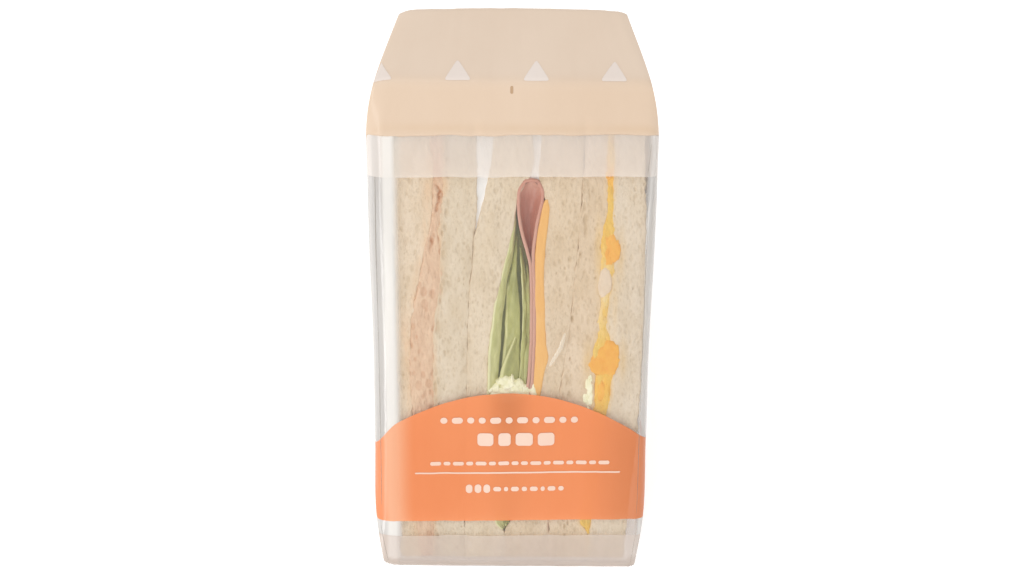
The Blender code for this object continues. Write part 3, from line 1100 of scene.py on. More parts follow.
@dataclass(frozen=True)
class Wedge:
    """One layer of a sandwich: a right-angled triangle of even build between two lines up the cut face."""

    name: str
    left: Line
    right: Line
    finish: Finish
    slot: Slot
    bottom: float = 3.3
    top: float = 158.4
    rows: int = 600
    columns: int = 64
    side_columns: int = 11
    back_columns: int = 4
    edge_round: float = 0.45
    overlap: float = 0.2
    edge_fall: float = 0.0
    setback: float = 0.0
    depth_limit: float = 200.0
    ragged: float = 0.22
    seed: int = 1

    def relief(self, x: Array, height: Array) -> tuple[Array, dict[str, Array]]:
        """How far the cut face is sunk at each point, and the values that the finish reads there."""
        return np.zeros(np.broadcast(x, height).shape), {}

    def lean_in(self, depth: Array) -> Array:
        """How far the right side face lies inside the layer's right line at each depth."""
        return np.zeros(depth.shape)

    def side_relief(self, depth: Array, height: Array, seed: int) -> tuple[Array, Array]:
        """How far a side face is sunk at each point, and its tone."""
        flat = np.zeros(np.broadcast(depth, height).shape)
        return flat, flat

    def section(self, form: PackForm) -> tuple[Array, Array, Array, Array, Array]:
        """The layer's heights, its two ragged edges, its depth and the radius of its front edges.

        Args:
            form: The pack's form.

        Returns:
            Heights, left edge, right edge, depth and radius.
        """
        height = np.linspace(self.bottom, self.top, self.rows)[:, None]
        torn = [self.ragged * rough_noise(height / 2.6, row, self.seed, 4) for row in (0.0, 50.0)]
        left = self.left.at(height) - self.overlap + torn[0]
        right = self.right.at(height) + self.overlap + torn[1]
        depth = np.minimum(form.bread_depth(height), self.depth_limit) - self.setback
        half = np.maximum((right - left) / 2, 0.15)
        radius = np.minimum(np.minimum(self.edge_round, half * 0.9), depth * 0.45)
        return height, left, right, depth, radius

    def sheet(self, form: PackForm) -> Sheet:
        """The layer's whole surface: each row is its section at one height up the slope.

        A row runs across the cut face from left to right, back along the right side, across the back, and
        forward along the left side. Near its ends the cut face turns down by a quarter circle.

        Args:
            form: The pack's form, which says how deep the bread is.

        Returns:
            The surface, closed round and capped.
        """
        height, left, right, depth, radius = self.section(form)
        share = np.linspace(-1, 1, self.columns)[None, :]
        x = (left + right) / 2 + (right - left) / 2 * share
        from_edge = (right - left) / 2 * (1 - np.abs(share))
        rounded = np.clip(from_edge, 0, radius)
        turned = radius - np.sqrt(np.clip(radius**2 - (radius - rounded) ** 2, 0, None))
        sunk, values = self.relief(x, height)
        fallen = self.edge_fall * (1 - ramp(from_edge, 0.0, 2.4 * self.overlap))
        front_depth = self.setback + turned + (sunk + fallen) * np.clip(depth / 4, 0, 1)

        way = (np.arange(1, self.side_columns + 1) / self.side_columns)[None, :] ** 1.5
        side_depth = self.setback + radius + (depth - radius) * way
        sunk_right, tone_right = self.side_relief(side_depth, height, self.seed + 5)
        sunk_left, tone_left = self.side_relief(side_depth, height, self.seed + 9)
        back_share = (np.arange(1, self.back_columns + 1) / (self.back_columns + 1))[None, :]
        back_x = right + (left - right) * back_share
        back_depth = np.broadcast_to(self.setback + depth, back_x.shape)
        fade = np.clip(side_depth / 3, 0, 1) * np.clip((depth - side_depth) / 3, 0, 1)

        right_x = right - sunk_right * fade - self.lean_in(side_depth)
        left_x = (left + sunk_left * fade)[:, ::-1]
        all_x = np.concatenate([x, right_x, back_x, left_x], axis=1)
        all_depth = np.concatenate([front_depth, side_depth, back_depth, side_depth[:, ::-1]], axis=1)
        quiet = np.zeros(back_x.shape)
        merged = {}
        for key in ("tone", "stain"):
            front = np.broadcast_to(values.get(key, 0.0), x.shape)
            sides = (tone_right, tone_left[:, ::-1]) if key == "tone" else (tone_right * 0, tone_left * 0)
            merged[key] = np.concatenate([front, sides[0], quiet, sides[1]], axis=1)
        return Sheet(form.cut_face(all_x, height, all_depth), merged, closed_round=True, capped=True)

    def build(self, form: PackForm, effects: Effects) -> Piece:
        """Builds and dresses the layer."""
        return finish_piece(self.sheet(form).make(self.name, form), self.finish, effects)


@dataclass(frozen=True)
class BreadSlice(Wedge):
    """A slice of soft white bread, its crumb cut through: pores in three sizes, drawn out along the slope.

    For each size, pore_cells holds a cell's width and height and the share of the cells with a pore.
    """

    pore_cells: Triples = ((2.4, 4.2, 0.2), (1.2, 2.2, 0.38), (0.75, 1.25, 0.5))
    stains: tuple[Stain, ...] = ()
    pore_lines: tuple[Line, ...] = ()
    crumb_depth: float = 0.7
    draw_in: float = 0.0
    smears: tuple[tuple[Line, float, float], ...] = ()

    def crumb(self, x: Array, y: Array, seed: int) -> tuple[Array, Array]:
        """Depth and tone of the crumb's pores at each point; the tone darkens the pores with painted shade.

        Args:
            x: Places across, in millimetres.
            y: Places along the pores' long way, in millimetres.
            seed: Picks one arrangement.

        Returns:
            The depth, in millimetres, and the tone, 0 to 1.
        """
        warped = x + 0.3 * soft_noise(x / 1.3, y / 2.2, seed + 40)
        leant = y + 0.7 * soft_noise(x / 2.1, y / 4.0, seed + 41)
        large, middle, small = (
            pits(warped, leant, (width, height), fill, seed + 100 * i)
            for i, (width, height, fill) in enumerate(self.pore_cells)
        )
        crowd = 0.6 + 0.4 * soft_noise(x / 4.0, y / 11.0, seed + 60)
        depth = 0.55 * large * crowd + 0.45 * middle * crowd + 0.22 * small
        tone = 0.2 * ramp(large, 0.1, 0.7) * crowd + 0.3 * ramp(middle, 0.1, 0.6) * crowd
        return depth, np.clip(tone + 0.15 * ramp(small, 0.1, 0.6), 0, 1)

    def relief(self, x: Array, height: Array) -> tuple[Array, dict[str, Array]]:
        """The crumb, with a slow waviness, a row of larger holes where a pore line runs, darkened with
        painted shade like the pores, and any stains.

        Args:
            x: Distances to the right of the pack's middle.
            height: Heights up the slope.

        Returns:
            How far the face is sunk, and the values that its finish reads.
        """
        depth, tone = self.crumb(x, height, self.seed * 31)
        for i, line in enumerate(self.pore_lines):
            near = bell(x, line.at(height), 1.1)
            holes = pits(x, height, (1.6, 4.2), 0.85, self.seed + 300 + i) * near
            depth, tone = depth + 0.8 * holes, tone + 0.6 * holes
        wave = 0.3 * rough_noise(x / 6, height / 16, self.seed + 70)
        stain = sum((spot.at(x, height) for spot in self.stains), np.zeros(depth.shape))
        for line, reach, strength in self.smears:
            patchy = 0.7 + rough_noise(x / 1.2, height / 4, 61)
            stain = stain + strength * bell(x, line.at(height), reach) * patchy
        stain = stain * (0.75 + 0.25 * rough_noise(x / 1.5, height / 3, self.seed + 80))
        return self.crumb_depth * depth + wave, {"tone": np.clip(tone, 0, 1), "stain": np.clip(stain, 0, 1)}

    def lean_in(self, depth: Array) -> Array:
        """The right face draws in over the first millimetres, where the side film bows towards the bread."""
        return self.draw_in * ramp(depth, 0.5, 9.0)

    def side_relief(self, depth: Array, height: Array, seed: int) -> tuple[Array, Array]:
        """The same crumb, shallower, on the slice's flat faces."""
        sunk, tone = self.crumb(depth, height, seed * 13)
        return 0.5 * sunk, 0.5 * tone


@dataclass(frozen=True)
class TunaFilling(Wedge):
    """Tuna salad: a pale paste with flakes along the slope, dark specks, and a crevice up high, browned with
    painted shade.
    """

    crevice_foot: Span = (107, 111)
    crevice_head: Span = (129, 133)
    crevice: Line = Line(
        ((60, -26.0), (104, -25.0), (112, -25.0), (118, -24.3), (124, -22.9), (131, -23.3), (145, -23.2))
    )

    def relief(self, x: Array, height: Array) -> tuple[Array, dict[str, Array]]:
        """Lumps and flakes, the crevice between two lumps of filling, and specks.

        Args:
            x: Distances to the right of the pack's middle.
            height: Heights up the slope.

        Returns:
            How far the face is sunk, and the values that its finish reads.
        """
        lumps = 0.5 * rough_noise(x / 1.7, height / 3.6, self.seed + 3, 4)
        flakes = 0.3 * pits(x, height, (1.1, 3.0), 0.6, self.seed + 7)
        broken = ramp(rough_noise(0.0, height / 3.2, self.seed + 21), -0.3, 0.15)
        inside = ramp(height, *self.crevice_foot) * (1 - 0.7 * ramp(height, *self.crevice_head))
        wander = 0.9 * rough_noise(height / 2.4, 3.0, self.seed + 14)
        crack = bell(x, self.crevice.at(height) + wander, 0.42) * inside * (0.25 + 0.75 * broken)
        specks = pits(x, height, (2.1, 3.3), 0.3, self.seed + 33)
        ring = bell(specks, 0.35, 0.22) * (specks > 0.02)
        # The crevice's brown tone is painted shade in it.
        tone = 0.72 * crack + 0.3 * ramp(specks, 0.3, 0.8) + 0.35 * ring + 0.12 * flakes
        patches = ramp(rough_noise(x / 1.2, height / 3, self.seed + 5), -0.2, 0.5)
        tone = tone + 0.22 * ramp(height, 100, 112) * patches
        return lumps + flakes + 0.55 * crack + 0.3 * specks, {"tone": np.clip(tone, 0, 1)}


@dataclass(frozen=True)
class EggFilling(Wedge):
    """Chopped egg: yellow spread with a paler stretch halfway up.

    The rims and parts are stretches up the slope: the middle's height, how far it reaches, its strength.
    """

    yolk_rims: Triples = ((131, 3.0, 0.7), (62, 5.0, 0.5))
    white_parts: Triples = ((97, 7.0, 0.9), (86, 5.0, 0.5))

    def relief(self, x: Array, height: Array) -> tuple[Array, dict[str, Array]]:
        """Lumps and grains; the tone is the orange of the yolk, and the stain the pale of the white.

        Args:
            x: Distances to the right of the pack's middle.
            height: Heights up the slope.

        Returns:
            How far the face is sunk, and the values that its finish reads.
        """
        lumps = 0.45 * rough_noise(x / 1.8, height / 3.4, self.seed + 3)
        grains = 0.2 * pits(x, height, (0.9, 1.2), 0.7, self.seed + 5)
        rim = sum(strength * bell(height, middle, reach) for middle, reach, strength in self.yolk_rims)
        pale = sum(strength * bell(height, middle, reach) for middle, reach, strength in self.white_parts)
        tone = rim + 0.25 + 0.4 * rough_noise(x / 1.3, height / 3.2, self.seed + 9)
        stain = np.clip(pale * (0.6 + 0.7 * rough_noise(x / 1.1, height / 2.6, self.seed + 12)), 0, 1)
        return lumps + grains - 0.1, {"tone": np.clip(tone, 0, 1), "stain": stain}


@dataclass(frozen=True)
class CheeseSlice(Wedge):
    """A slice of processed cheese, seen on its cut edge: smooth, with faint ripples along it."""

    def relief(self, x: Array, height: Array) -> tuple[Array, dict[str, Array]]:
        """Faint ripples along the edge, and a tone that darkens it unevenly."""
        ripples = 0.1 * rough_noise(x / 1.2, height / 6.0, self.seed + 3)
        tone = 0.4 + 0.5 * rough_noise(x / 1.4, height / 9, self.seed + 4)
        return ripples, {"tone": np.clip(tone, 0, 1) * 0.5}


@dataclass(frozen=True)
class Lump:
    """A chopped piece in a filling: an uneven ball, cut flat where the knife went through."""

    name: str
    x: float
    height: float
    radius_x: float
    radius_height: float
    radius_depth: float
    finish: Finish
    slot: Slot
    cut_depth: float = -0.35
    unevenness: float = 0.2
    seed: int = 1
    rows: int = 40
    columns: int = 72

    def sheet(self, form: PackForm) -> Sheet:
        """A ball on a grid of turns and tilts, its radius uneven by noise, flattened softly at the cut.

        Args:
            form: The pack's form.

        Returns:
            The surface, closed round, with its small ends capped.
        """
        tilt = np.linspace(0.02, math.pi - 0.02, self.rows)[:, None]
        turn = np.linspace(0, 2 * math.pi, self.columns, endpoint=False)[None, :]
        round_x, round_height = np.sin(tilt) * np.cos(turn), np.sin(tilt) * np.sin(turn)
        lumps = rough_noise(1.6 * round_x + 5, 1.6 * round_height + np.cos(tilt), self.seed, 4)
        uneven = 1 + self.unevenness * lumps
        x = self.x + self.radius_x * round_x * uneven
        height = self.height + self.radius_height * round_height * uneven
        depth = 1.0 - self.radius_depth * np.cos(tilt) * uneven
        over = np.clip(self.cut_depth - depth, 0, None)
        depth = depth + over * 0.93 + 0.12 * rough_noise(x / 1.1, height / 1.6, self.seed + 2)
        tone = 0.5 + 0.5 * rough_noise(x / 1.4, height / 2.4, self.seed + 6)
        return Sheet(form.cut_face(x, height, depth), {"tone": tone}, closed_round=True, capped=True)

    def build(self, form: PackForm, effects: Effects) -> Piece:
        """Builds and dresses the piece."""
        return finish_piece(self.sheet(form).make(self.name, form), self.finish, effects)


@dataclass(frozen=True)
class Leaf:
    """One fold of a lettuce leaf, a ribbon up the slope whose margins turn away into the sandwich."""

    name: str
    left: Line
    right: Line
    bottom: float
    top: float
    left_depth: float
    right_depth: float
    crown: float
    finish: Finish
    seed: int
    rows: int = 260
    columns: int = 26
    turn_in: float = 5.0

    def build(self, form: PackForm, effects: Effects) -> Piece:
        """Builds and dresses the fold.

        Across the ribbon the depth runs from one margin's to the other's, less a crown in the middle, with
        ripples along it; past each margin the leaf turns down into the sandwich. Its width closes at the top.

        Args:
            form: The pack's form.
            effects: The shared node groups.

        Returns:
            The fold.
        """
        height = np.linspace(self.bottom, self.top, self.rows)[:, None]
        share = np.linspace(-0.3, 1.3, self.columns)[None, :]
        held = np.clip(share, 0, 1)
        past = np.clip(-share, 0, None) + np.clip(share - 1, 0, None)
        close = np.sqrt(np.clip((self.top - height) / 9.0, 0, 1))
        left, right = self.left.at(height), self.right.at(height)
        middle, half = (left + right) / 2, (right - left) / 2 * (0.15 + 0.85 * close)
        ripple = rough_noise(height / 7.0, held * 1.3, self.seed)
        x = middle + half * (2 * held - 1) + 0.35 * ripple + 0.9 * past * np.sign(0.5 - share)
        depth = self.left_depth + (self.right_depth - self.left_depth) * held
        depth = depth - self.crown * 4 * held * (1 - held) + self.turn_in * (past / 0.3) ** 1.3
        depth = depth + 0.75 * rough_noise(height / 6.0, held * 1.6, self.seed + 4) + 2.5 * (1 - close)
        # A pale line just inside each fold's left margin.
        pale_margin = 1 - ramp(np.abs(held - 0.08), 0.0, 0.14)
        # The tone darkens past the margins, where the leaf turns into the sandwich: painted shade.
        tone = 0.5 + 0.45 * rough_noise(height / 6.0, held * 2.5, self.seed + 8) + 0.35 * past / 0.3
        values = {"tone": np.clip(tone, 0, 1) * (1 - 0.8 * pale_margin), "stain": pale_margin * 0.9}
        piece = Sheet(form.cut_face(x, height, depth), values).make(self.name, form)
        thicken(piece, 0.4)
        return finish_piece(piece, self.finish, effects)


@dataclass(frozen=True)
class HamFold:
    """A slice of ham folded over on itself, open like a drop at its top end and closed along the rest."""

    finish: Finish
    loop_foot: float = 103.5
    loop_top: float = 130.4
    turn_height: float = 130.0
    fold_x: float = 6.9
    narrowing: float = 0.5
    fall: float = 0.42
    thickness: float = 1.0
    bottom: float = 17.0
    rows: int = 300
    depth_rows: int = 40
    reach: float = 20.0
    left: Line = Line((
        (15, 0.2), (40, 3.4), (66, 5.8), (76, 6.4), (97, 6.3), (104, 5.9), (108, 5.0), (115, 3.1),
        (121, 2.2), (125, 2.2), (128, 2.6), (130, 3.9),
    ))
    right: Line = Line((
        (15, 1.3), (40, 4.5), (66, 6.9), (76, 7.4), (97, 7.3), (104, 6.9), (108, 6.9), (113, 7.5),
        (117, 8.0), (121, 8.8), (125, 9.6), (128, 9.4), (130, 8.4),
    ))

    def build(self, form: PackForm, effects: Effects) -> list[Piece]:
        """Builds and dresses the slice, and its surface inside the loop.

        The cut edge runs up the left line, over a low half oval at the top and down the right line. Each
        point is carried into the sandwich, and the loop narrows and sinks as it goes.

        Args:
            form: The pack's form.
            effects: The shared node groups.

        Returns:
            The slice and the surface.
        """
        climb = np.linspace(self.bottom, self.turn_height, self.rows)
        turn = np.linspace(math.pi, 0, 41)[1:-1]
        left, right = self.left.at(self.turn_height), self.right.at(self.turn_height)
        over_x = (left + right) / 2 + (right - left) / 2 * np.cos(turn)
        x = np.concatenate([self.left.at(climb), over_x, self.right.at(climb)[::-1]])
        height = np.concatenate([climb, self.turn_height + 0.9 * np.sin(turn), climb[::-1]])
        edge_x, edge_height = x[None, :], height[None, :]
        depth = self.reach * np.linspace(0, 1, self.depth_rows)[:, None] ** 1.4
        opened = ramp(edge_height, self.loop_foot - 4, self.loop_foot + 6)
        # The loop closes towards a line that leans left further down, as the filling does.
        middle = self.fold_x - 1.2 * ramp(edge_height, 104, 90) - 5.0 * (1 - ramp(edge_height, 15, 66))
        closing = 1 - self.narrowing * opened * ramp(depth, 1.0, 10.0)
        deep_x = middle + (edge_x - middle) * closing + 0.15 * rough_noise(edge_height / 6, depth / 6, 9)
        deep_height = edge_height - opened * (self.fall * depth) * ramp(edge_height, 118, 131)
        # The tone deepens into the loop, most at its foot: partly the ham's deeper colour, partly painted
        # shade inside the loop. The stain pales the cut edge.
        low = 1 - ramp(edge_height, 106, 128)
        tone = opened * (0.25 + 0.75 * low) * ramp(depth, 0.3, 5.0) + 0.3 * (1 - opened)
        tone = tone + 0.1 * rough_noise(edge_height / 3, depth / 3, 5)
        shape = np.broadcast(deep_x, depth).shape
        rim = (1 - ramp(depth, 0.2, 1.2)) * (0.75 - 0.5 * ramp(edge_height, 112, 126))
        values = {"tone": np.broadcast_to(np.clip(tone, 0, 1), shape), "stain": np.broadcast_to(rim, shape)}
        held = np.minimum(depth, form.bread_depth(deep_height) - 0.8)
        front = np.broadcast_to(held - 0.15, shape)
        piece = Sheet(form.cut_face(deep_x, deep_height, front), values).make("ham_slice", form)
        thicken(piece, self.thickness)
        finish_piece(piece, self.finish, effects)
        return [piece, self.build_inside(form, effects)]

    def build_inside(self, form: PackForm, effects: Effects) -> Piece:
        """Builds and dresses the slice's surface inside the loop, a trough that is deepest in its middle.

        Args:
            form: The pack's form.
            effects: The shared node groups.

        Returns:
            The surface.
        """
        height = np.linspace(self.loop_foot, self.loop_top, 110)[:, None]
        share = np.linspace(-1, 1, 41)[None, :]
        left, right = self.left.at(height), self.right.at(height)
        close = np.sqrt(np.clip((self.loop_top + 0.4 - height) / 3.0, 0, 1))
        middle, half = (left + right) / 2, (right - left) / 2 * close
        x = middle + half * share
        trough = (0.35 + 0.75 * half) * (1 - (share + 0.1) ** 2) * (1 - 0.45 * ramp(height, 118, 131))
        depth = 0.25 + np.clip(trough, 0, None) + 0.12 * rough_noise(share * 2, height / 7, 12)
        # The tone darkens towards the loop's foot and its middle: partly the ham's deeper colour, partly
        # painted shade in the trough. The stain pales it towards its top.
        low = 1 - ramp(height, 107, 129)
        streaks = 0.14 * rough_noise(x / 0.9, height / 14, 19)
        tone = streaks + (0.25 + 0.68 * low) * (0.62 + 0.38 * np.clip(1 - (share + 0.15) ** 2, 0, 1))
        tone = tone + 0.06 * rough_noise(x / 1.5, height / 4, 15)
        stain = np.broadcast_to(0.75 * ramp(height, 124.5, 130.5), x.shape)
        sheet = Sheet(form.cut_face(x, height, depth), {"tone": np.clip(tone, 0, 1), "stain": stain})
        return finish_piece(sheet.make("ham_inside", form), self.finish, effects)


@dataclass(frozen=True)
class GapLightSheet:
    """A pale sheet that fills the gap between two layers of bread with painted light."""

    name: str
    left: Line
    right: Line
    bottom: float
    top: float
    finish: Finish
    depth: float = 0.5

    def build(self, form: PackForm, effects: Effects) -> Piece:
        """Builds and dresses a trough across the gap, its depth falling by the square from the middle.

        Args:
            form: The pack's form.
            effects: The shared node groups.

        Returns:
            The trough.
        """
        height = np.linspace(self.bottom, self.top, 90)[:, None]
        share = np.linspace(-1, 1, 13)[None, :]
        left, right = self.left.at(height) - 0.4, self.right.at(height) + 0.4
        x = (left + right) / 2 + (right - left) / 2 * share
        depth = 0.5 + self.depth * (1 - share**2) + 0.15 * rough_noise(x / 2, height / 6, 7)
        piece = Sheet(form.cut_face(x, height, depth)).make(self.name, form)
        return finish_piece(piece, self.finish, effects)


@dataclass(frozen=True)
class FilmPanel:
    """A stretch of the film wrap, from one distance along the outline to another."""

    name: str
    start: float
    end: float
    finish: Finish
    slot: Slot
    lift: float = 0.0
    rows: int = 120
    columns: int = 150
    start_waver: float = 0.0
    end_waver: float = 0.0
    level_start: bool = True
    level_end: bool = True
    thickness: float = 0.0
    # Spans of x and of distance along: where the sides turn milky, where the painted highlight and the
    # painted shade at the edges lie, where the toe's painted shade ends, and where the head's painted shade
    # and painted light change.
    left_milk: Span = (34.2, 37.8)
    right_milk: Span = (41.2, 43.0)
    streak_start: Span = (33.6, 35.8)
    streak_end: Span = (39.4, 41.0)
    left_grey: Span = (39.6, 41.2)
    left_grey_fade: Span = (43.2, 44.0)
    right_grey: Span = (42.0, 43.4)
    foot_grey: Span = (38.3, 39.8)
    label_shadow: Span = (18.0, 24.0)
    foot_end: Span = (60.0, 70.0)
    toe_shade: Span = (2.3, 3.7)
    front_fold: Span = (157.0, 163.0)
    lit_start: Span = (158.0, 165.0)
    lit_end: Span = (196.0, 206.0)

    def print_values(self, x: Array, along: Array) -> dict[str, Array]:
        """Painted shade along the print's overlap above the milky band and along the ridge, painted shade
        that darkens its front below the fold, and painted light on its top.

        Args:
            x: Distances to the right of the pack's middle.
            along: Distances along the outline.

        Returns:
            The values that the print's finish reads.
        """
        seam_shade = bell(along, BANDS.header + 2.2, 1.4) + 0.5 * bell(along, 161.0, 1.5)
        tone = 0.45 * seam_shade * (0.6 + 0.4 * rough_noise(x / 9, 0.0, 4))
        tone = tone + 0.3 * (1 - ramp(along, *self.front_fold))
        lit = 0.16 * ramp(along, *self.lit_start) * (1 - ramp(along, *self.lit_end))
        # The stain value carries the painted light of the top.
        return {"tone": np.clip(tone, 0, 1), "stain": lit}

    def values(self, points: Array, along: Array) -> dict[str, Array]:
        """How milky the film is towards its sides; a painted highlight, a white streak on the left; and
        painted shade at its outer edges and at the toe, where the veil also thickens.

        Args:
            points: The panel's points.
            along: Distances along the outline.

        Returns:
            The values that the film's finish reads.
        """
        x = points[..., 0]
        if self.slot is Slot.HEADER:
            return self.print_values(x, along)
        frosted = self.slot is Slot.FROSTED
        left, right = 0.88 * ramp(-x, *self.left_milk), 0.66 * ramp(x, *self.right_milk)
        # A painted highlight along the left bulge.
        streak = ramp(-x, *self.streak_start) * (1 - ramp(-x, *self.streak_end))
        # Painted shade at the film's outer edges and on the right of the foot.
        edge_shade = ramp(-x, *self.left_grey) * (1 - 0.5 * ramp(-x, *self.left_grey_fade))
        edge_shade = np.maximum(edge_shade, 0.8 * ramp(x, *self.right_grey))
        edge_shade = edge_shade * (0.5 if frosted else 0.35 + 0.65 * ramp(along, *self.label_shadow))
        milky_foot = float(frosted) * (1 - ramp(along, *self.foot_end))
        edge_shade = np.maximum(edge_shade, 0.55 * milky_foot * ramp(x, *self.foot_grey))
        # Painted shade at the toe, in a dim colour and a thicker veil.
        shade = np.maximum(bell(along, 0.0, 1.0), 0.75 * (1 - ramp(along, *self.toe_shade))) * (along > -3.0)
        return {
            "rim": np.maximum(np.maximum(left, right), 0.9 * shade),
            "painted_highlight": (0.85 - 0.65 * milky_foot) * streak * (1 - shade),
            "tone": np.maximum(edge_shade, shade),
        }

    def build(self, form: PackForm, effects: Effects) -> Piece:
        """Builds and dresses the panel; a waver makes its cut edge slightly uneven.

        Args:
            form: The pack's form.
            effects: The shared node groups.

        Returns:
            The panel.
        """
        share = np.linspace(-1, 1, self.columns)[None, :]
        way = np.linspace(0, 1, self.rows)[:, None]
        waver = rough_noise(share * 5, 0.0, 77)
        first, last = self.start + self.start_waver * waver, self.end + self.end_waver * waver
        if self.level_start:
            first = form.level(first + 0.5 * share, share)
        if self.level_end:
            last = form.level(last + 0.5 * share, share)
        along = first + (last - first) * way
        points = form.surface(along, share, self.lift)
        piece = Sheet(points, self.values(points, along)).make(self.name, form)
        if self.thickness:
            thicken(piece, self.thickness, -1.0)
        return finish_piece(piece, self.finish, effects)


@dataclass(frozen=True)
class LabelBand:
    """The label printed round the front, with its arc-shaped top edge."""

    finish: Finish
    lift: float = 0.12
    rows: int = 110
    columns: int = 200
    leaf_reach: float = 6.0
    leaf_heights: Span = (38, 57)
    right_shade: Span = (22, 41)
    rim_shade: Span = (38, 40)
    glow_start: Span = (30.8, 38.8)
    glow_end: Span = (38.8, 42.6)

    def build(self, form: PackForm, effects: Effects) -> Piece:
        """Builds and dresses the band: each column runs from the bottom edge to the arc above it.

        Its ink is deeper over the lettuce; towards the right it carries painted shade, and along the left
        bulge a painted highlight.

        Args:
            form: The pack's form.
            effects: The shared node groups.

        Returns:
            The band.
        """
        share = np.linspace(-1, 1, self.columns)[None, :]
        way = np.linspace(0, 1, self.rows)[:, None]
        x, _ = form.across(share)
        low = form.level(LABEL.bottom + LABEL.skew * x, share)
        high = form.level(LABEL.edge(x), share)
        height = low + (high - low) * way
        over_leaf = 0.85 * bell(x + 0.5, 0.0, self.leaf_reach)
        over_leaf = over_leaf * (0.25 + 0.75 * ramp(height, *self.leaf_heights))
        # Past the leaf, the tone is painted shade towards the right and at the right rim.
        tone = np.maximum(over_leaf, 0.8 * ramp(x, *self.right_shade) + 0.12 * ramp(x, *self.rim_shade))
        painted_highlight = 0.9 * ramp(-x, *self.glow_start) * (1 - ramp(-x, *self.glow_end))
        points = form.surface(height, share, self.lift, LABEL.sag)
        # The painted highlight goes out as the stain value.
        piece = Sheet(points, {"tone": tone, "stain": painted_highlight}).make("label_band", form)
        return finish_piece(piece, self.finish, effects)


class Side(Enum):
    """The pack's two ends."""

    LEFT = -1
    RIGHT = 1


@dataclass(frozen=True)
class SidePanel:
    """One end of the pack: film folded like an envelope, the front's flap over the base's over the back's."""

    side: Side
    finish: Finish
    rings: int = 70
    setback_share: float = 0.12
    flap_start: float = 0.1
    flap_end: float = 0.3
    back_print: float = 9.0

    @staticmethod
    def rim_lift(form: PackForm, along: Array) -> Array:
        """How many layers of film lie at the rim: one in the window, more in the printed head and back.

        Args:
            form: The pack's form.
            along: Distances along the outline.

        Returns:
            The lift of the rim at those distances.
        """
        end = form.marks["heel_start"]
        head = 2 * form.layer * ramp(along, BANDS.header - 1.0, BANDS.header)
        head = head * (1 - ramp(along, end, end + 1.0))
        return np.maximum(head, 0.5 * form.layer * (along > end))

    def build(self, form: PackForm, effects: Effects) -> Piece:
        """Builds and dresses the panel.

        Rays run from the film's rim to the middle of the side view. The panel sinks in at its middle and in
        the head's tuck, and each flap lies a layer above the next.

        Args:
            form: The pack's form.
            effects: The shared node groups.

        Returns:
            The panel.
        """
        marks = form.marks
        runs = [
            np.linspace(marks["front_start"], marks["ridge_end"], 190),
            np.linspace(marks["ridge_end"], marks["fold_end"], 44)[1:],
            np.linspace(marks["fold_end"], marks["heel_end"], 130)[1:],
            np.linspace(marks["heel_end"], marks["front_start"] + marks["round"], 130)[1:-1],
        ]
        along = np.concatenate(runs)
        rim = form.surface(along, float(self.side.value), self.rim_lift(form, along))[:, 1:]
        flap = (along < marks["ridge_start"]).astype(float)
        base = (along > marks["heel_end"]).astype(float)
        back = ((along > marks["foot_start"]) & (along < marks["heel_end"])).astype(float)
        share = 1 - np.linspace(0, 1, self.rings)[:, None] ** 1.15
        place = form.middle + share[..., None] * (rim - form.middle)
        depth = form.left_sink if self.side is Side.LEFT else form.right_sink
        far = np.linalg.norm(place - form.middle, axis=-1)
        sink = depth * (1 - eased(far / form.hollow_reach))
        tuck_middle = (form.corners["ridge"] + form.corners["fold"] + form.corners["foot"]) / 3
        from_tuck = np.linalg.norm(place - tuck_middle, axis=-1)
        sink = sink + form.gusset_tuck * bell(from_tuck, 0.0, form.tuck_reach)
        inside = 1 - share
        held = eased(inside / self.setback_share)
        away = eased(inside / self.flap_start)
        lift = form.layer * (2 * flap + base) * away * eased(share / self.flap_end)
        creases = 0.35 * rough_noise(place[..., 0] / 9, place[..., 1] / 9, 5 + self.side.value)
        creases = creases * away
        width = form.widths.at(form.height(place))
        x = self.side.value * (width - (sink + form.panel_setback) * held + lift + creases)
        printed = back * (place[..., 0] > form.back_gap - self.back_print) * 1.0
        values = {"flap": np.broadcast_to(flap, share.shape[:1] + flap.shape) * 1.0, "printed": printed}
        points = np.concatenate([x[..., None], place], axis=-1)
        if self.side is Side.RIGHT:
            points = points[::-1]
            values = {key: value[::-1] for key, value in values.items()}
        name = f"film_side_{self.side.name.lower()}"
        piece = Sheet(points, values, closed_round=True).make(name, form)
        return finish_piece(piece, self.finish, effects)


@dataclass(frozen=True)
class DashRow:
    """A row of plain printed dashes with round ends."""

    name: str
    height: float
    breadth: float
    start: float
    lengths: tuple[float, ...]
    gap: float = 1.0
    corner: float = 0.5
    lift: float = 0.3

    def dash(self, form: PackForm, middle: float, length: float) -> Sheet:
        """One dash: at its ends the half-breadth falls by a quarter circle of the corners' radius.

        Args:
            form: The pack's form.
            middle: Its middle's x.
            length: Its length.

        Returns:
            The dash's surface.
        """
        share = np.sin(np.linspace(-1, 1, 41) * math.pi / 2)[None, :]
        way = np.linspace(-1, 1, 5)[:, None]
        half_length, radius = length / 2, self.corner * min(self.breadth, length)
        past = np.clip((np.abs(share) * half_length - (half_length - radius)) / radius, 0, 0.9999)
        half_breadth = self.breadth / 2 - radius + radius * np.sqrt(1 - past**2)
        x = middle + share * half_length + 0 * way
        height = self.height + way * half_breadth + LABEL.skew * x
        return Sheet(form.surface(height, form.share_at(x, height), self.lift, LABEL.sag))

    def build(self, form: PackForm, finish: Finish, effects: Effects) -> Piece:
        """Builds and dresses the row, from left to right.

        Args:
            form: The pack's form.
            finish: Its ink.
            effects: The shared node groups.

        Returns:
            The row.
        """
        sheets, place = [], self.start
        for length in self.lengths:
            sheets.append(self.dash(form, place + length / 2, length))
            place += length + self.gap
        return finish_piece(make_piece(self.name, sheets, form), finish, effects)


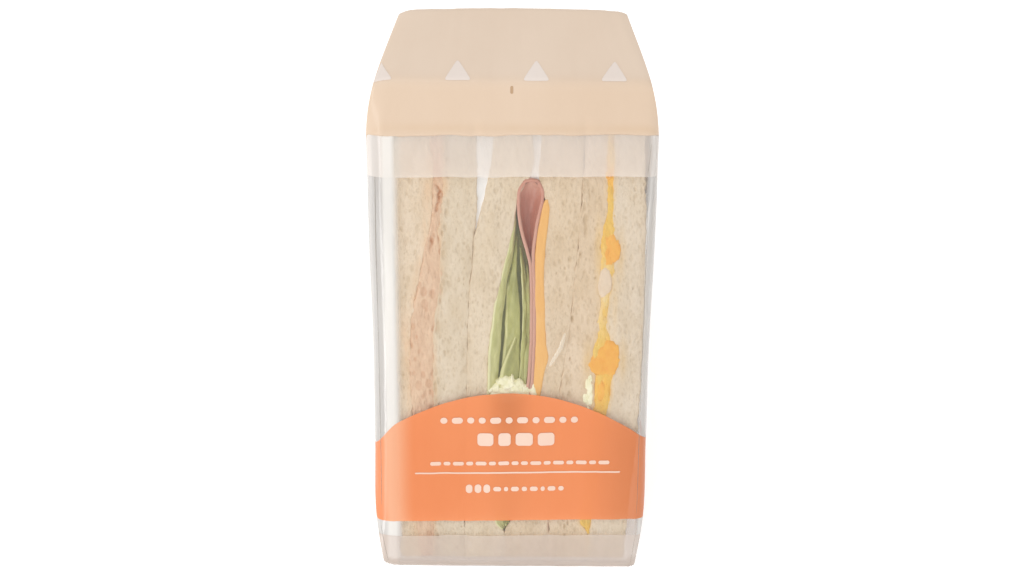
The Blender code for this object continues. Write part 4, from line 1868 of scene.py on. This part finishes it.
@dataclass(frozen=True)
class Badge:
    """A plain printed shape: a rounded triangle, like a sandwich seen from its side."""

    name: str
    x: float
    along: float
    size: float
    lift: float

    def build(self, form: PackForm, finish: Finish, effects: Effects) -> Piece:
        """Builds and dresses the shape; its radius is the softened distance to a triangle's three sides.

        Args:
            form: The pack's form.
            finish: Its ink.
            effects: The shared node groups.

        Returns:
            The shape.
        """
        turn = np.linspace(0, 2 * math.pi, 72, endpoint=False)[None, :]
        way = np.linspace(0.002, 1, 9)[:, None]
        facing = [turn - math.pi * (0.5 + 2 * k / 3) - math.pi / 3 for k in range(3)]
        sides = sum(np.clip(np.cos(angle), 0, None) ** 7 for angle in facing)
        radius = self.size * 0.36 / sides ** (1 / 7)
        x = self.x + way * radius * np.cos(turn)
        along = self.along + way * radius * np.sin(turn)
        points = form.surface(along, form.share_at(x, np.minimum(along, 170.0)), self.lift)
        piece = Sheet(points, closed_round=True).make(self.name, form)
        return finish_piece(piece, finish, effects)


@dataclass(frozen=True)
class Crease:
    """A crease in the film: a narrow raised ribbon; a pale finish paints a highlight on it, a dark one paints
    shade on what is behind it.
    """

    name: str
    path: tuple[tuple[float, float], ...]
    breadth: float
    finish: Finish
    rise: float = 0.35

    def build(self, form: PackForm, effects: Effects) -> Piece:
        """Builds and dresses the crease along its path of x and height; it narrows towards both ends.

        Args:
            form: The pack's form.
            effects: The shared node groups.

        Returns:
            The crease.
        """
        x, height = np.array(self.path, float).T
        run = np.concatenate([[0.0], np.cumsum(np.hypot(np.diff(x), np.diff(height)))])
        way = np.linspace(0, run[-1], 80)
        middle_x, middle_height = np.interp(way, run, x), np.interp(way, run, height)
        pad = 4
        kernel = np.ones(2 * pad + 1) / (2 * pad + 1)
        middle_x = np.convolve(np.pad(middle_x, pad, mode="edge"), kernel, "valid")
        middle_height = np.convolve(np.pad(middle_height, pad, mode="edge"), kernel, "valid")
        lead_x, lead_height = np.gradient(middle_x), np.gradient(middle_height)
        size = np.hypot(lead_x, lead_height)
        share = np.linspace(-1, 1, 9)[None, :]
        taper = np.sqrt(np.clip(1 - np.abs(2 * way / run[-1] - 1) ** 3, 0.02, 1))[:, None]
        across = share * self.breadth / 2 * taper
        place_x = middle_x[:, None] + across * (lead_height / size)[:, None]
        place_height = middle_height[:, None] - across * (lead_x / size)[:, None]
        lift = 0.15 + self.rise * (1 - share**2) * taper
        points = form.surface(place_height, form.share_at(place_x, place_height), lift)
        return finish_piece(Sheet(points).make(self.name, form), self.finish, effects)


# Lettuce's pattern and grain, the same in all of its finishes.
LEAFY = {"mottle_scale": 260.0, "grain_scale": 500.0, "grain_height": 0.15}


@dataclass(frozen=True)
class Palette:
    """Every finish of the pack."""

    # Moist tuna salad; its deep brown colours the specks and patches, and paints shade in the crevice.
    tuna: FoodFinish = FoodFinish(
        "tuna_salad", srgb(236, 202, 168), srgb(224, 186, 152), srgb(196, 134, 86),
        mottle_scale=420.0, grain_scale=1100.0, roughness=0.5, coat=0.2,
    )
    # A lettuce leaf: mid green, paler along a line by each fold's margin.
    leaf: FoodFinish = FoodFinish(
        "lettuce_leaf", srgb(206, 204, 128), srgb(182, 180, 99), srgb(140, 141, 72), srgb(226, 222, 162),
        roughness=0.45, coat=0.15, **LEAFY,
    )
    # The lettuce deep between its folds: a darker green that paints their shade.
    leaf_shade: FoodFinish = FoodFinish(
        "lettuce_shade", srgb(142, 143, 82), srgb(122, 125, 64), srgb(92, 96, 48), roughness=0.6, **LEAFY
    )
    # The outermost fold of lettuce, paler than the rest.
    pale_leaf: FoodFinish = FoodFinish(
        "lettuce_pale", srgb(230, 226, 164), srgb(212, 208, 142), srgb(172, 172, 100), srgb(236, 232, 184),
        roughness=0.45, coat=0.15, **LEAFY,
    )
    # Cooked ham: pink inside, paler on its cut edge; its deep colour darkens the loop, partly as painted
    # shade.
    ham: FoodFinish = FoodFinish(
        "ham", srgb(214, 146, 124), srgb(206, 135, 112), srgb(145, 68, 38), srgb(220, 168, 145),
        mottle_scale=500.0, grain_scale=1300.0, grain_height=0.1, roughness=0.42, coat=0.2,
    )
    # Processed cheese.
    cheese: FoodFinish = FoodFinish(
        "cheese", srgb(250, 196, 112), srgb(246, 186, 98), srgb(236, 166, 76),
        mottle_scale=160.0, grain_scale=700.0, grain_height=0.06, roughness=0.4, coat=0.15,
    )
    # Egg spread, orange where it holds yolk.
    egg: FoodFinish = FoodFinish(
        "egg_spread", srgb(240, 204, 101), srgb(234, 190, 80), srgb(248, 188, 64), srgb(240, 220, 178),
        mottle_scale=300.0, grain_scale=800.0, grain_height=0.18, roughness=0.5, coat=0.15,
    )
    # Boiled egg yolk.
    yolk: FoodFinish = FoodFinish(
        "egg_yolk", srgb(252, 198, 82), srgb(250, 186, 68), srgb(244, 166, 56),
        mottle_scale=240.0, grain_scale=900.0, grain_height=0.18, roughness=0.6,
    )
    # Boiled egg white.
    egg_white: FoodFinish = FoodFinish(
        "egg_white", srgb(240, 222, 198), srgb(236, 214, 188), srgb(230, 204, 174),
        mottle_scale=260.0, grain_height=0.08, roughness=0.4, coat=0.2,
    )
    # Mayonnaise dressing, pale and wet; its glare is painted light, an emission in its own colour.
    dressing: FoodFinish = FoodFinish(
        "dressing", srgb(255, 250, 226), srgb(250, 244, 212), srgb(226, 220, 172),
        mottle_scale=900.0, grain_scale=600.0, grain_height=0.3, roughness=0.25, coat=0.6, glare=0.13,
    )
    # The clear window.
    window: FilmFinish = FilmFinish(
        "clear_film", srgb(228, 224, 220), srgb(222, 218, 214), veil=0.07, gloss=1.1, roughness=0.07
    )
    # The milky double film below the head.
    milky: FilmFinish = FilmFinish(
        "milky_film", srgb(250, 240, 232), srgb(246, 235, 226), veil=0.52, unevenness=0.12, roughness=0.16
    )
    # The milky double film at the foot and under the base; its edge colour paints shade at the toe.
    foot: FilmFinish = FilmFinish(
        "foot_film", srgb(232, 218, 208), srgb(222, 206, 196),
        veil=0.5, edge=srgb(202, 184, 171), unevenness=0.15, roughness=0.16,
    )
    # Pale painted light in the gaps between the slices.
    gap_light: FilmFinish = FilmFinish(
        "gap_painted_light", srgb(255, 253, 250), srgb(252, 249, 246), veil=0.96, unevenness=0.03, roughness=0.2
    )
    # A crease painted as a highlight, and one painted as shade on what is behind it.
    crease_painted_highlight: FilmFinish = FilmFinish(
        "crease_painted_highlight", srgb(250, 240, 222), srgb(244, 232, 212), veil=0.42, roughness=0.1
    )
    crease_painted_shade: FilmFinish = FilmFinish(
        "crease_painted_shade", srgb(176, 166, 152), srgb(160, 150, 136), veil=0.5, roughness=0.2
    )
    # The head's tan print; its deep colour paints shade on the front, along the overlap and along the ridge,
    # and its painted light colour lights the top.
    head: PrintFinish = PrintFinish(
        "tan_print", srgb(232, 209, 187), srgb(227, 203, 180), srgb(220, 190, 158), coat=0.25, roughness=0.5
    )
    # The label's orange print; its deep colour also paints shade towards the right, and its palest colour a
    # painted highlight along the left bulge.
    label: PrintFinish = PrintFinish(
        "orange_print", srgb(250, 149, 91), srgb(246, 142, 83), srgb(220, 127, 72), srgb(255, 186, 145),
        solidity=0.9, coat=0.35,
    )
    # Pale ink of the label's rule and bars, and of the head's shapes.
    ink: PrintFinish = PrintFinish("pale_ink", srgb(248, 216, 196), srgb(244, 206, 184), coat=0.3)
    head_ink: PrintFinish = PrintFinish(
        "head_ink", srgb(238, 226, 218), srgb(234, 220, 210), coat=0.25, roughness=0.5
    )
    # The brown mark of the tear notch.
    notch: PrintFinish = PrintFinish("notch_mark", srgb(196, 162, 128), srgb(186, 150, 116), coat=0.2)

    @cached_property
    def breads(self) -> tuple[FoodFinish, ...]:
        """The six slices' crumb, each a little different, and stained by the filling that it touches.

        Returns:
            The finishes, from left to right.
        """
        tints = (
            (240, 220, 194), (232, 215, 190), (236, 218, 192),
            (234, 212, 183), (234, 211, 182), (234, 217, 194),
        )
        by_tuna, by_ham, by_egg = srgb(240, 194, 146), srgb(172, 120, 96), srgb(240, 198, 116)
        stains = (by_tuna, by_tuna, by_egg, by_ham, by_egg, by_egg)
        # The pores' colour is painted shade in them.
        pore, dark_shares = srgb(184, 157, 116), (0.955, 0.94, 0.91)
        finishes = []
        for i, tint in enumerate(tints):
            dark = (value * share for value, share in zip(tint, dark_shares))
            name = f"bread_crumb_{i + 1}"
            crumb = FoodFinish(name, srgb(*tint), srgb(*dark), pore, stains[i], roughness=0.85, pores=0.16)
            finishes.append(crumb)
        return tuple(finishes)

    def side(self, end: Side, form: PackForm) -> SideFilmFinish:
        """The film of one side panel; the label's top edge reaches it lower down at the left.

        Args:
            end: Which side.
            form: The pack's form.

        Returns:
            The side panel's finish.
        """
        return SideFilmFinish(
            f"side_film_{end.name.lower()}", form, label_drop=2.6 if end is Side.LEFT else 0.3,
            clear_colour=srgb(236, 232, 228), milky_colour=srgb(224, 220, 216),
            label_colour=srgb(242, 147, 93), header_colour=srgb(229, 206, 183),
        )


@dataclass(frozen=True)
class Sandwiches:
    """The three sandwiches: six slices of bread and the fillings between them."""

    form: PackForm
    palette: Palette
    effects: Effects

    def build(self) -> list[Piece]:
        """Builds every layer, from left to right."""
        return [*self.slices(), *self.tuna(), *self.ham_and_lettuce(), *self.egg()]

    def slices(self) -> list[Piece]:
        """Builds the six slices of bread.

        Returns:
            The slices, from left to right.
        """
        edges = (
            ("bread_left", "tuna_left"),
            ("tuna_right", "first_gap_left"),
            ("first_gap_right", "lettuce_left"),
            ("slice_4_left", "second_gap_left"),
            ("second_gap_right", "egg_left"),
            ("egg_right", "bread_right"),
        )
        stains = {
            0: (Stain(-33.8, 82, 1.6, 6, 0.4), Stain(-26.5, 126, 1.6, 5, 0.4), Stain(-33.0, 68, 1.4, 8, 0.2)),
            1: (Stain(-20.8, 129, 1.2, 3, 0.45),),
            3: (Stain(12.8, 14.6, 0.3, 2.2, 0.9),),
            4: (Stain(27.3, 110, 1.2, 9, 0.5), Stain(24.6, 72, 1.6, 6, 0.5)),
            5: (Stain(34.6, 106, 1.2, 8, 0.4), Stain(33.0, 90, 1.0, 10, 0.35), Stain(36.0, 72, 1.4, 6, 0.4)),
        }
        pores = {
            1: (Line(((20, -23.9), (70, -23.7), (86, -23.1), (95, -21.8), (113, -21.7), (125, -20.3))),),
            4: (Line(((80, 18.8), (96, 20.9), (115, 22.8), (131, 23.6))),),
        }
        smears = {
            0: ((EDGES["tuna_left"], 1.7, 0.5),),
            1: ((EDGES["tuna_right"], 1.1, 0.45),),
            4: ((EDGES["egg_left"], 0.9, 0.5),),
            5: ((EDGES["egg_right"], 0.9, 0.5),),
        }
        made = []
        for i, finish in enumerate(self.palette.breads):
            layer = BreadSlice(
                name=f"bread_slice_{i + 1}", left=EDGES[edges[i][0]], right=EDGES[edges[i][1]],
                finish=finish, slot=Slot.BREAD, seed=i + 1, stains=stains.get(i, ()),
                pore_lines=pores.get(i, ()), smears=smears.get(i, ()),
                ragged=0.5 if i in smears else 0.22, draw_in=0.9 if i == 5 else 0.0,
            )
            made.append(layer.build(self.form, self.effects))
        return made

    def tuna(self) -> list[Piece]:
        """Builds the first sandwich's filling.

        Returns:
            Its pieces.
        """
        layer = TunaFilling(
            name="tuna_filling", left=EDGES["tuna_left"], right=EDGES["tuna_right"],
            finish=self.palette.tuna, slot=Slot.TUNA, bottom=3.4, top=155.0, columns=44, edge_round=0.3,
            overlap=0.9, edge_fall=0.4, ragged=0.55, depth_limit=60.0, seed=11,
        )
        return [layer.build(self.form, self.effects)]

    def ham_and_lettuce(self) -> list[Piece]:
        """Builds the second sandwich's filling: lettuce, folded ham and cheese.

        Returns:
            Its pieces.
        """
        form, effects, palette = self.form, self.effects, self.palette
        # A dark green wedge set back behind the folds paints the shade between them.
        shade_wedge = Wedge(
            name="lettuce_painted_shade", left=EDGES["lettuce_left"], right=EDGES["ham_left"],
            finish=palette.leaf_shade, slot=Slot.LETTUCE, bottom=13.0, top=120.0, columns=16, rows=200,
            setback=3.2, depth_limit=40.0, seed=21,
        )
        cheese = CheeseSlice(
            name="cheese_slice", left=EDGES["cheese_left"], right=EDGES["cheese_right"],
            finish=palette.cheese, slot=Slot.CHEESE, bottom=30.0, top=124.6, columns=20, edge_round=0.8,
            ragged=0.1, setback=-0.3, depth_limit=50.0, seed=22,
        )
        made = [shade_wedge.build(form, effects), cheese.build(form, effects)]
        made += [leaf.build(form, effects) for leaf in self.leaves()]
        return made + HamFold(palette.ham).build(form, effects)

    def leaves(self) -> list[Leaf]:
        """The folds of lettuce that show at the cut, from left to right.

        Returns:
            The folds.
        """
        finish = self.palette.leaf
        left, right = EDGES["lettuce_left"], EDGES["ham_left"]
        first = Line((
            (10, -1.2), (16, -1.8), (26, -3.9), (40, -4.6), (62, -4.2), (83, -3.0), (96, -1.6),
            (109, 0.6), (120, 1.6),
        ))
        second_left = Line(
            ((20, -3.6), (40, -3.6), (62, -3.4), (83, -1.8), (96, -1.2), (109, 0.8), (116, 1.4))
        )
        second_right = Line(
            ((20, 0.0), (40, 1.2), (62, 1.4), (83, 2.9), (92, 2.4), (100, 1.6), (109, 1.9), (116, 2.0))
        )
        third_left = Line(((20, -3.0), (50, -3.6), (66, -3.6), (72, -1.9), (80, 1.2), (84, 2.2)))
        third_right = Line(((20, 0.2), (50, 1.8), (66, 2.6), (72, 2.7), (80, 2.9), (84, 2.8)))
        fourth_left = Line(((12, -1.6), (40, 1.2), (66, 2.8), (83, 3.9), (93, 3.8), (102, 3.0), (110, 2.0)))
        inner = Line(((12, -0.8), (40, 2.6), (66, 4.4), (83, 5.2), (93, 5.2), (102, 4.4), (110, 3.2)))
        fifth_left = Line(((12, -0.9), (66, 3.9), (93, 4.6), (104, 4.2)))
        return [
            Leaf("lettuce_fold_1", left, first, 13.2, 121.0, 0.2, 1.3, 0.5, self.palette.pale_leaf, 31),
            Leaf("lettuce_fold_2", second_left, second_right, 20.0, 113.0, 2.6, 1.2, 0.6, finish, 32),
            Leaf("lettuce_fold_3", third_left, third_right, 15.0, 84.0, 0.5, 1.6, 0.4, finish, 33),
            Leaf("lettuce_fold_4", fourth_left, inner, 14.0, 109.0, 1.0, 1.8, 0.4, finish, 34),
            Leaf("lettuce_fold_5", fifth_left, right, 15.0, 103.0, 1.9, 0.9, 0.2, finish, 35),
        ]

    def egg(self) -> list[Piece]:
        """Builds the third sandwich's filling: egg spread with pieces of white and yolk.

        Returns:
            Its pieces.
        """
        layer = EggFilling(
            name="egg_filling", left=EDGES["egg_left"], right=EDGES["egg_right"], finish=self.palette.egg,
            slot=Slot.EGG, bottom=11.8, top=155.0, columns=44, edge_round=0.3, overlap=0.6, edge_fall=0.4,
            ragged=0.7, depth_limit=60.0, seed=41,
        )
        white, yolk, slot = self.palette.egg_white, self.palette.yolk, Slot.EGG
        lumps = (
            Lump("egg_white_piece", 29.5, 98.0, 2.5, 5.2, 1.9, white, slot, seed=42),
            Lump("egg_yolk_upper", 31.3, 108.6, 2.7, 5.8, 2.0, yolk, slot, -0.3, 0.5, 43),
            Lump("egg_yolk_lower", 31.2, 72.6, 5.3, 7.2, 2.4, yolk, slot, -0.3, 0.5, 45),
            Lump("egg_yolk_top", 30.3, 131.6, 1.5, 1.5, 1.2, yolk, slot, -0.3, 0.3, 46),
            Lump("egg_yolk_foot", 29.4, 61.5, 1.5, 4.6, 1.6, yolk, slot, -0.3, 0.35, 47),
        )
        return [piece.build(self.form, self.effects) for piece in (layer, *lumps)]


@dataclass(frozen=True)
class FilmWrap:
    """The film pack round the sandwiches: window, bands, head, base, sides and print."""

    form: PackForm
    palette: Palette
    effects: Effects

    def build(self) -> list[Piece]:
        """Builds every piece of the wrap."""
        wrap = [*self.panels(), *self.sides(), *self.gap_lights()]
        return [*wrap, *self.print(), *self.creases(), *self.smears()]

    def panels(self) -> list[Piece]:
        """Builds the window, the milky bands, the printed head with the back, and the base.

        Returns:
            The panels.
        """
        form, palette, marks = self.form, self.palette, self.form.marks
        back_foot = marks["heel_start"]
        panels = [
            FilmPanel(
                "film_window", BANDS.lower - 0.4, BANDS.overlap + 0.4, palette.window, Slot.FILM, rows=190
            ),
            FilmPanel(
                "film_upper_band", BANDS.overlap, BANDS.header + 0.6, palette.milky, Slot.FROSTED,
                lift=form.layer, rows=30, start_waver=0.25,
            ),
            FilmPanel(
                "film_lower_band", back_foot - marks["round"], BANDS.lower, palette.foot, Slot.FROSTED,
                lift=form.layer * 0.5, rows=150, end_waver=0.25, level_start=False,
            ),
            FilmPanel(
                "printed_head", BANDS.header, back_foot + 0.5, palette.head, Slot.HEADER,
                lift=2 * form.layer, rows=210, start_waver=0.4, level_end=False, thickness=0.15,
            ),
        ]
        return [panel.build(form, self.effects) for panel in panels]

    def sides(self) -> list[Piece]:
        """Builds both side panels."""
        panels = [SidePanel(side, self.palette.side(side, self.form)) for side in Side]
        return [panel.build(self.form, self.effects) for panel in panels]

    def gap_lights(self) -> list[Piece]:
        """Builds the pale sheets of painted light in the gap between the first two sandwiches and above the
        ham.

        Returns:
            The sheets.
        """
        top, finish = 156.0, self.palette.gap_light
        first, second = ("first_gap_left", "first_gap_right"), ("lettuce_left", "slice_4_left")
        made = []
        for name, (left, right), bottom in (("first", first, 113.0), ("second", second, 130.0)):
            gap_light = GapLightSheet(f"gap_light_sheet_{name}", EDGES[left], EDGES[right], bottom, top, finish)
            made.append(gap_light.build(self.form, self.effects))
        return made

    def print(self) -> list[Piece]:
        """Builds the label band, its rule and plain bars, and the head's plain shapes.

        Returns:
            The pieces of print.
        """
        form, palette, effects = self.form, self.palette, self.effects
        made = [LabelBand(palette.label).build(form, effects)]
        short, long = 2.3, 3.6
        upper = (short, long, short, short, long, short, long, short, long, short, short)
        rows = (
            DashRow("label_rule", 34.3, 0.55, -31.0, (67.0,)),
            DashRow("label_dashes_upper", 52.4, 2.1, -22.6, upper, 1.4),
            DashRow("label_blocks_middle", 45.8, 4.4, -10.6, (5.2, 4.0, 5.6, 5.4), 1.6, 0.28),
            DashRow("label_dashes_lower", 37.6, 1.3, -26.0, (long, short) * 4 + (short, long) * 4, 0.75),
            DashRow("label_blocks_price", 28.8, 3.0, -14.4, (2.2, 2.2, 2.2), 0.7),
            DashRow("label_dashes_price", 28.6, 1.6, -5.4, (2.6, 1.4, 2.6, 1.8, 2.6, 1.4, 2.6, 1.8), 0.9),
        )
        made += [row.build(form, palette.ink, effects) for row in rows]
        # The head's film lies two layers out, so what is printed on it is lifted further than the label's.
        head_lift = 0.82
        for i, x in enumerate((-40.9, -16.8, 7.2, 31.0)):
            badge = Badge(f"head_badge_{i + 1}", x, 163.4, 6.7, head_lift)
            made.append(badge.build(form, palette.head_ink, effects))
        notch = DashRow("tear_notch", 158.2, 2.4, -0.7, (0.9,), lift=head_lift)
        made.append(notch.build(form, palette.notch, effects))
        return made

    def creases(self) -> list[Piece]:
        """Builds the creases that show in the film.

        Returns:
            The creases.
        """
        # The dark creases paint shade along the film's edges and folds, and the streak paints a highlight.
        light, dark = self.palette.crease_painted_highlight, self.palette.crease_painted_shade
        right_edge = ((42.6, 18.0), (43.0, 70.0), (43.1, 110.0), (42.4, 131.0))
        left_edge = ((-42.4, 18.0), (-42.7, 70.0), (-42.9, 110.0), (-42.6, 142.0))
        creases = (
            Crease("crease_streak", ((17.4, 82.0), (16.0, 77.0), (12.4, 70.6)), 1.3, light, 0.2),
            Crease("crease_lower_left", ((-43.0, 12.4), (-41.9, 7.0), (-40.6, 1.6)), 0.3, dark),
            Crease("crease_lower_right", ((43.2, 13.0), (42.6, 7.0), (41.9, 1.6)), 0.3, dark),
            Crease("crease_right_edge", right_edge, 0.35, dark, 0.15),
            Crease("crease_left_edge", left_edge, 0.35, dark, 0.15),
            Crease("crease_band_right", ((44.0, 143.6), (43.0, 137.0), (41.9, 131.9)), 0.5, dark),
        )
        return [crease.build(self.form, self.effects) for crease in creases]

    def smears(self) -> list[Piece]:
        """Builds the dressing that is pressed against the film just above the label.

        Returns:
            The lumps of dressing.
        """
        finish, slot = self.palette.dressing, Slot.EGG
        first = (
            (-0.2, 60.6, 7.8, 3.2), (-1.4, 64.0, 2.9, 2.3), (2.6, 63.2, 2.5, 2.2), (-5.6, 61.9, 2.2, 2.2),
            (7.4, 61.2, 1.3, 3.6), (5.1, 62.0, 1.5, 2.1), (-3.6, 64.6, 1.2, 0.9), (0.4, 65.9, 0.9, 1.2),
        )
        second = ((25.0, 58.6, 1.9, 3.8), (25.3, 62.8, 1.4, 3.2), (25.7, 66.2, 0.9, 1.4))
        made = []
        for name, spots in (("first", first), ("second", second)):
            for i, spot in enumerate(spots):
                smear = Lump(f"dressing_{name}_{i + 1}", *spot, 1.6, finish, slot, -0.5, 0.55, 51 + i)
                made.append(smear.build(self.form, self.effects))
        return made


@dataclass(frozen=True)
class Softbox:
    """A white studio light: where it stands, what it is turned to, its width and height, and its power."""

    name: str
    place: tuple[float, float, float]
    aim: tuple[float, float, float]
    size: tuple[float, float]
    power: float

    def build(self) -> Piece:
        """Builds the light.

        Returns:
            The light.
        """
        data = bpy.data.lights.new(self.name, "AREA")
        data.shape = "RECTANGLE"
        data.size, data.size_y = self.size
        data.energy = self.power
        lamp = bpy.data.objects.new(self.name, data)
        lamp.location = self.place
        toward = Vector(self.aim) - Vector(self.place)
        lamp.rotation_mode = "QUATERNION"
        lamp.rotation_quaternion = toward.to_track_quat("-Z", "Y")
        bpy.context.scene.collection.objects.link(lamp)
        return lamp


@dataclass(frozen=True)
class Studio:
    """The floor, the lights and the camera."""

    form: PackForm
    camera_distance: float = 450.0
    camera_elevation: float = math.radians(60)
    aim_height: float = 96.5
    aim_x: float = 0.27
    roll: float = math.radians(0.42)
    focal_px: float = 1426.5
    frame_px: float = 1024.0
    sensor: float = 36.0
    world_strength: float = 0.78

    def build(self) -> None:
        """Builds the whole studio."""
        self.floor()
        self.world()
        self.lights()
        self.camera()

    def floor(self) -> None:
        """A wide white floor just under the pack, its size in metres."""
        size, drop = 30.0, 0.0004
        mesh = bpy.data.meshes.new("studio_floor")
        corners = [(-size, -size, 0), (size, -size, 0), (size, size, 0), (-size, size, 0)]
        mesh.from_pydata(corners, [], [(0, 1, 2, 3)])
        floor = bpy.data.objects.new("studio_floor", mesh)
        floor.location.z = -drop
        bpy.context.scene.collection.objects.link(floor)
        material = bpy.data.materials.new("studio_floor")
        material.use_nodes = True
        shader = material.node_tree.nodes["Principled BSDF"]
        shader.inputs["Base Color"].default_value = (0.93, 0.93, 0.93, 1)
        shader.inputs["Roughness"].default_value = 0.9
        shader.inputs["Emission Color"].default_value = (1, 1, 1, 1)
        shader.inputs["Emission Strength"].default_value = 0.4
        mesh.materials.append(material)

    def world(self) -> None:
        """Even white light from all round."""
        world = bpy.data.worlds.new("studio_world")
        world.use_nodes = True
        background = world.node_tree.nodes["Background"]
        background.inputs["Color"].default_value = (1.0, 0.995, 0.985, 1)
        background.inputs["Strength"].default_value = self.world_strength
        bpy.context.scene.world = world

    def lights(self) -> None:
        """A broad key from the upper left and a tall strip at the left for the film's edge."""
        aim = (0.0, 0.0, 0.06)
        Softbox("key_light", (-0.35, -0.15, 1.05), aim, (0.7, 0.7), 1.6).build()
        Softbox("left_strip", (-0.62, -0.62, 0.38), aim, (0.14, 0.7), 1.6).build()

    def camera(self) -> None:
        """The camera looks down on the cut face, with the photo's framing."""
        up_y, up_z = self.form.corners["toe"] + self.aim_height * SLOPE
        aim = Vector(self.form.to_frame(np.array([self.aim_x, up_y, up_z])))
        away = Vector((0.0, -math.cos(self.camera_elevation), math.sin(self.camera_elevation)))
        data = bpy.data.cameras.new("studio_camera")
        data.sensor_width = self.sensor
        data.lens = self.focal_px / self.frame_px * self.sensor
        data.clip_start = 0.01
        camera = bpy.data.objects.new("studio_camera", data)
        upright = (-away).to_track_quat("-Z", "Y").to_matrix().to_4x4()
        place = Matrix.Translation(aim + away * self.camera_distance * MM)
        camera.matrix_world = place @ upright @ Matrix.Rotation(self.roll, 4, "Z")
        bpy.context.scene.collection.objects.link(camera)
        bpy.context.scene.camera = camera
        bpy.context.scene.view_settings.view_transform = "Standard"


def main() -> None:
    """Builds the studio, the sandwiches and the film round them."""
    logging.basicConfig(level=logging.INFO, format="%(message)s")
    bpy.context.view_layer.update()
    form = PackForm()
    palette = Palette()
    effects = Effects()
    Studio(form).build()
    Sandwiches(form, palette, effects).build()
    FilmWrap(form, palette, effects).build()


if __name__ == "__main__":
    main()
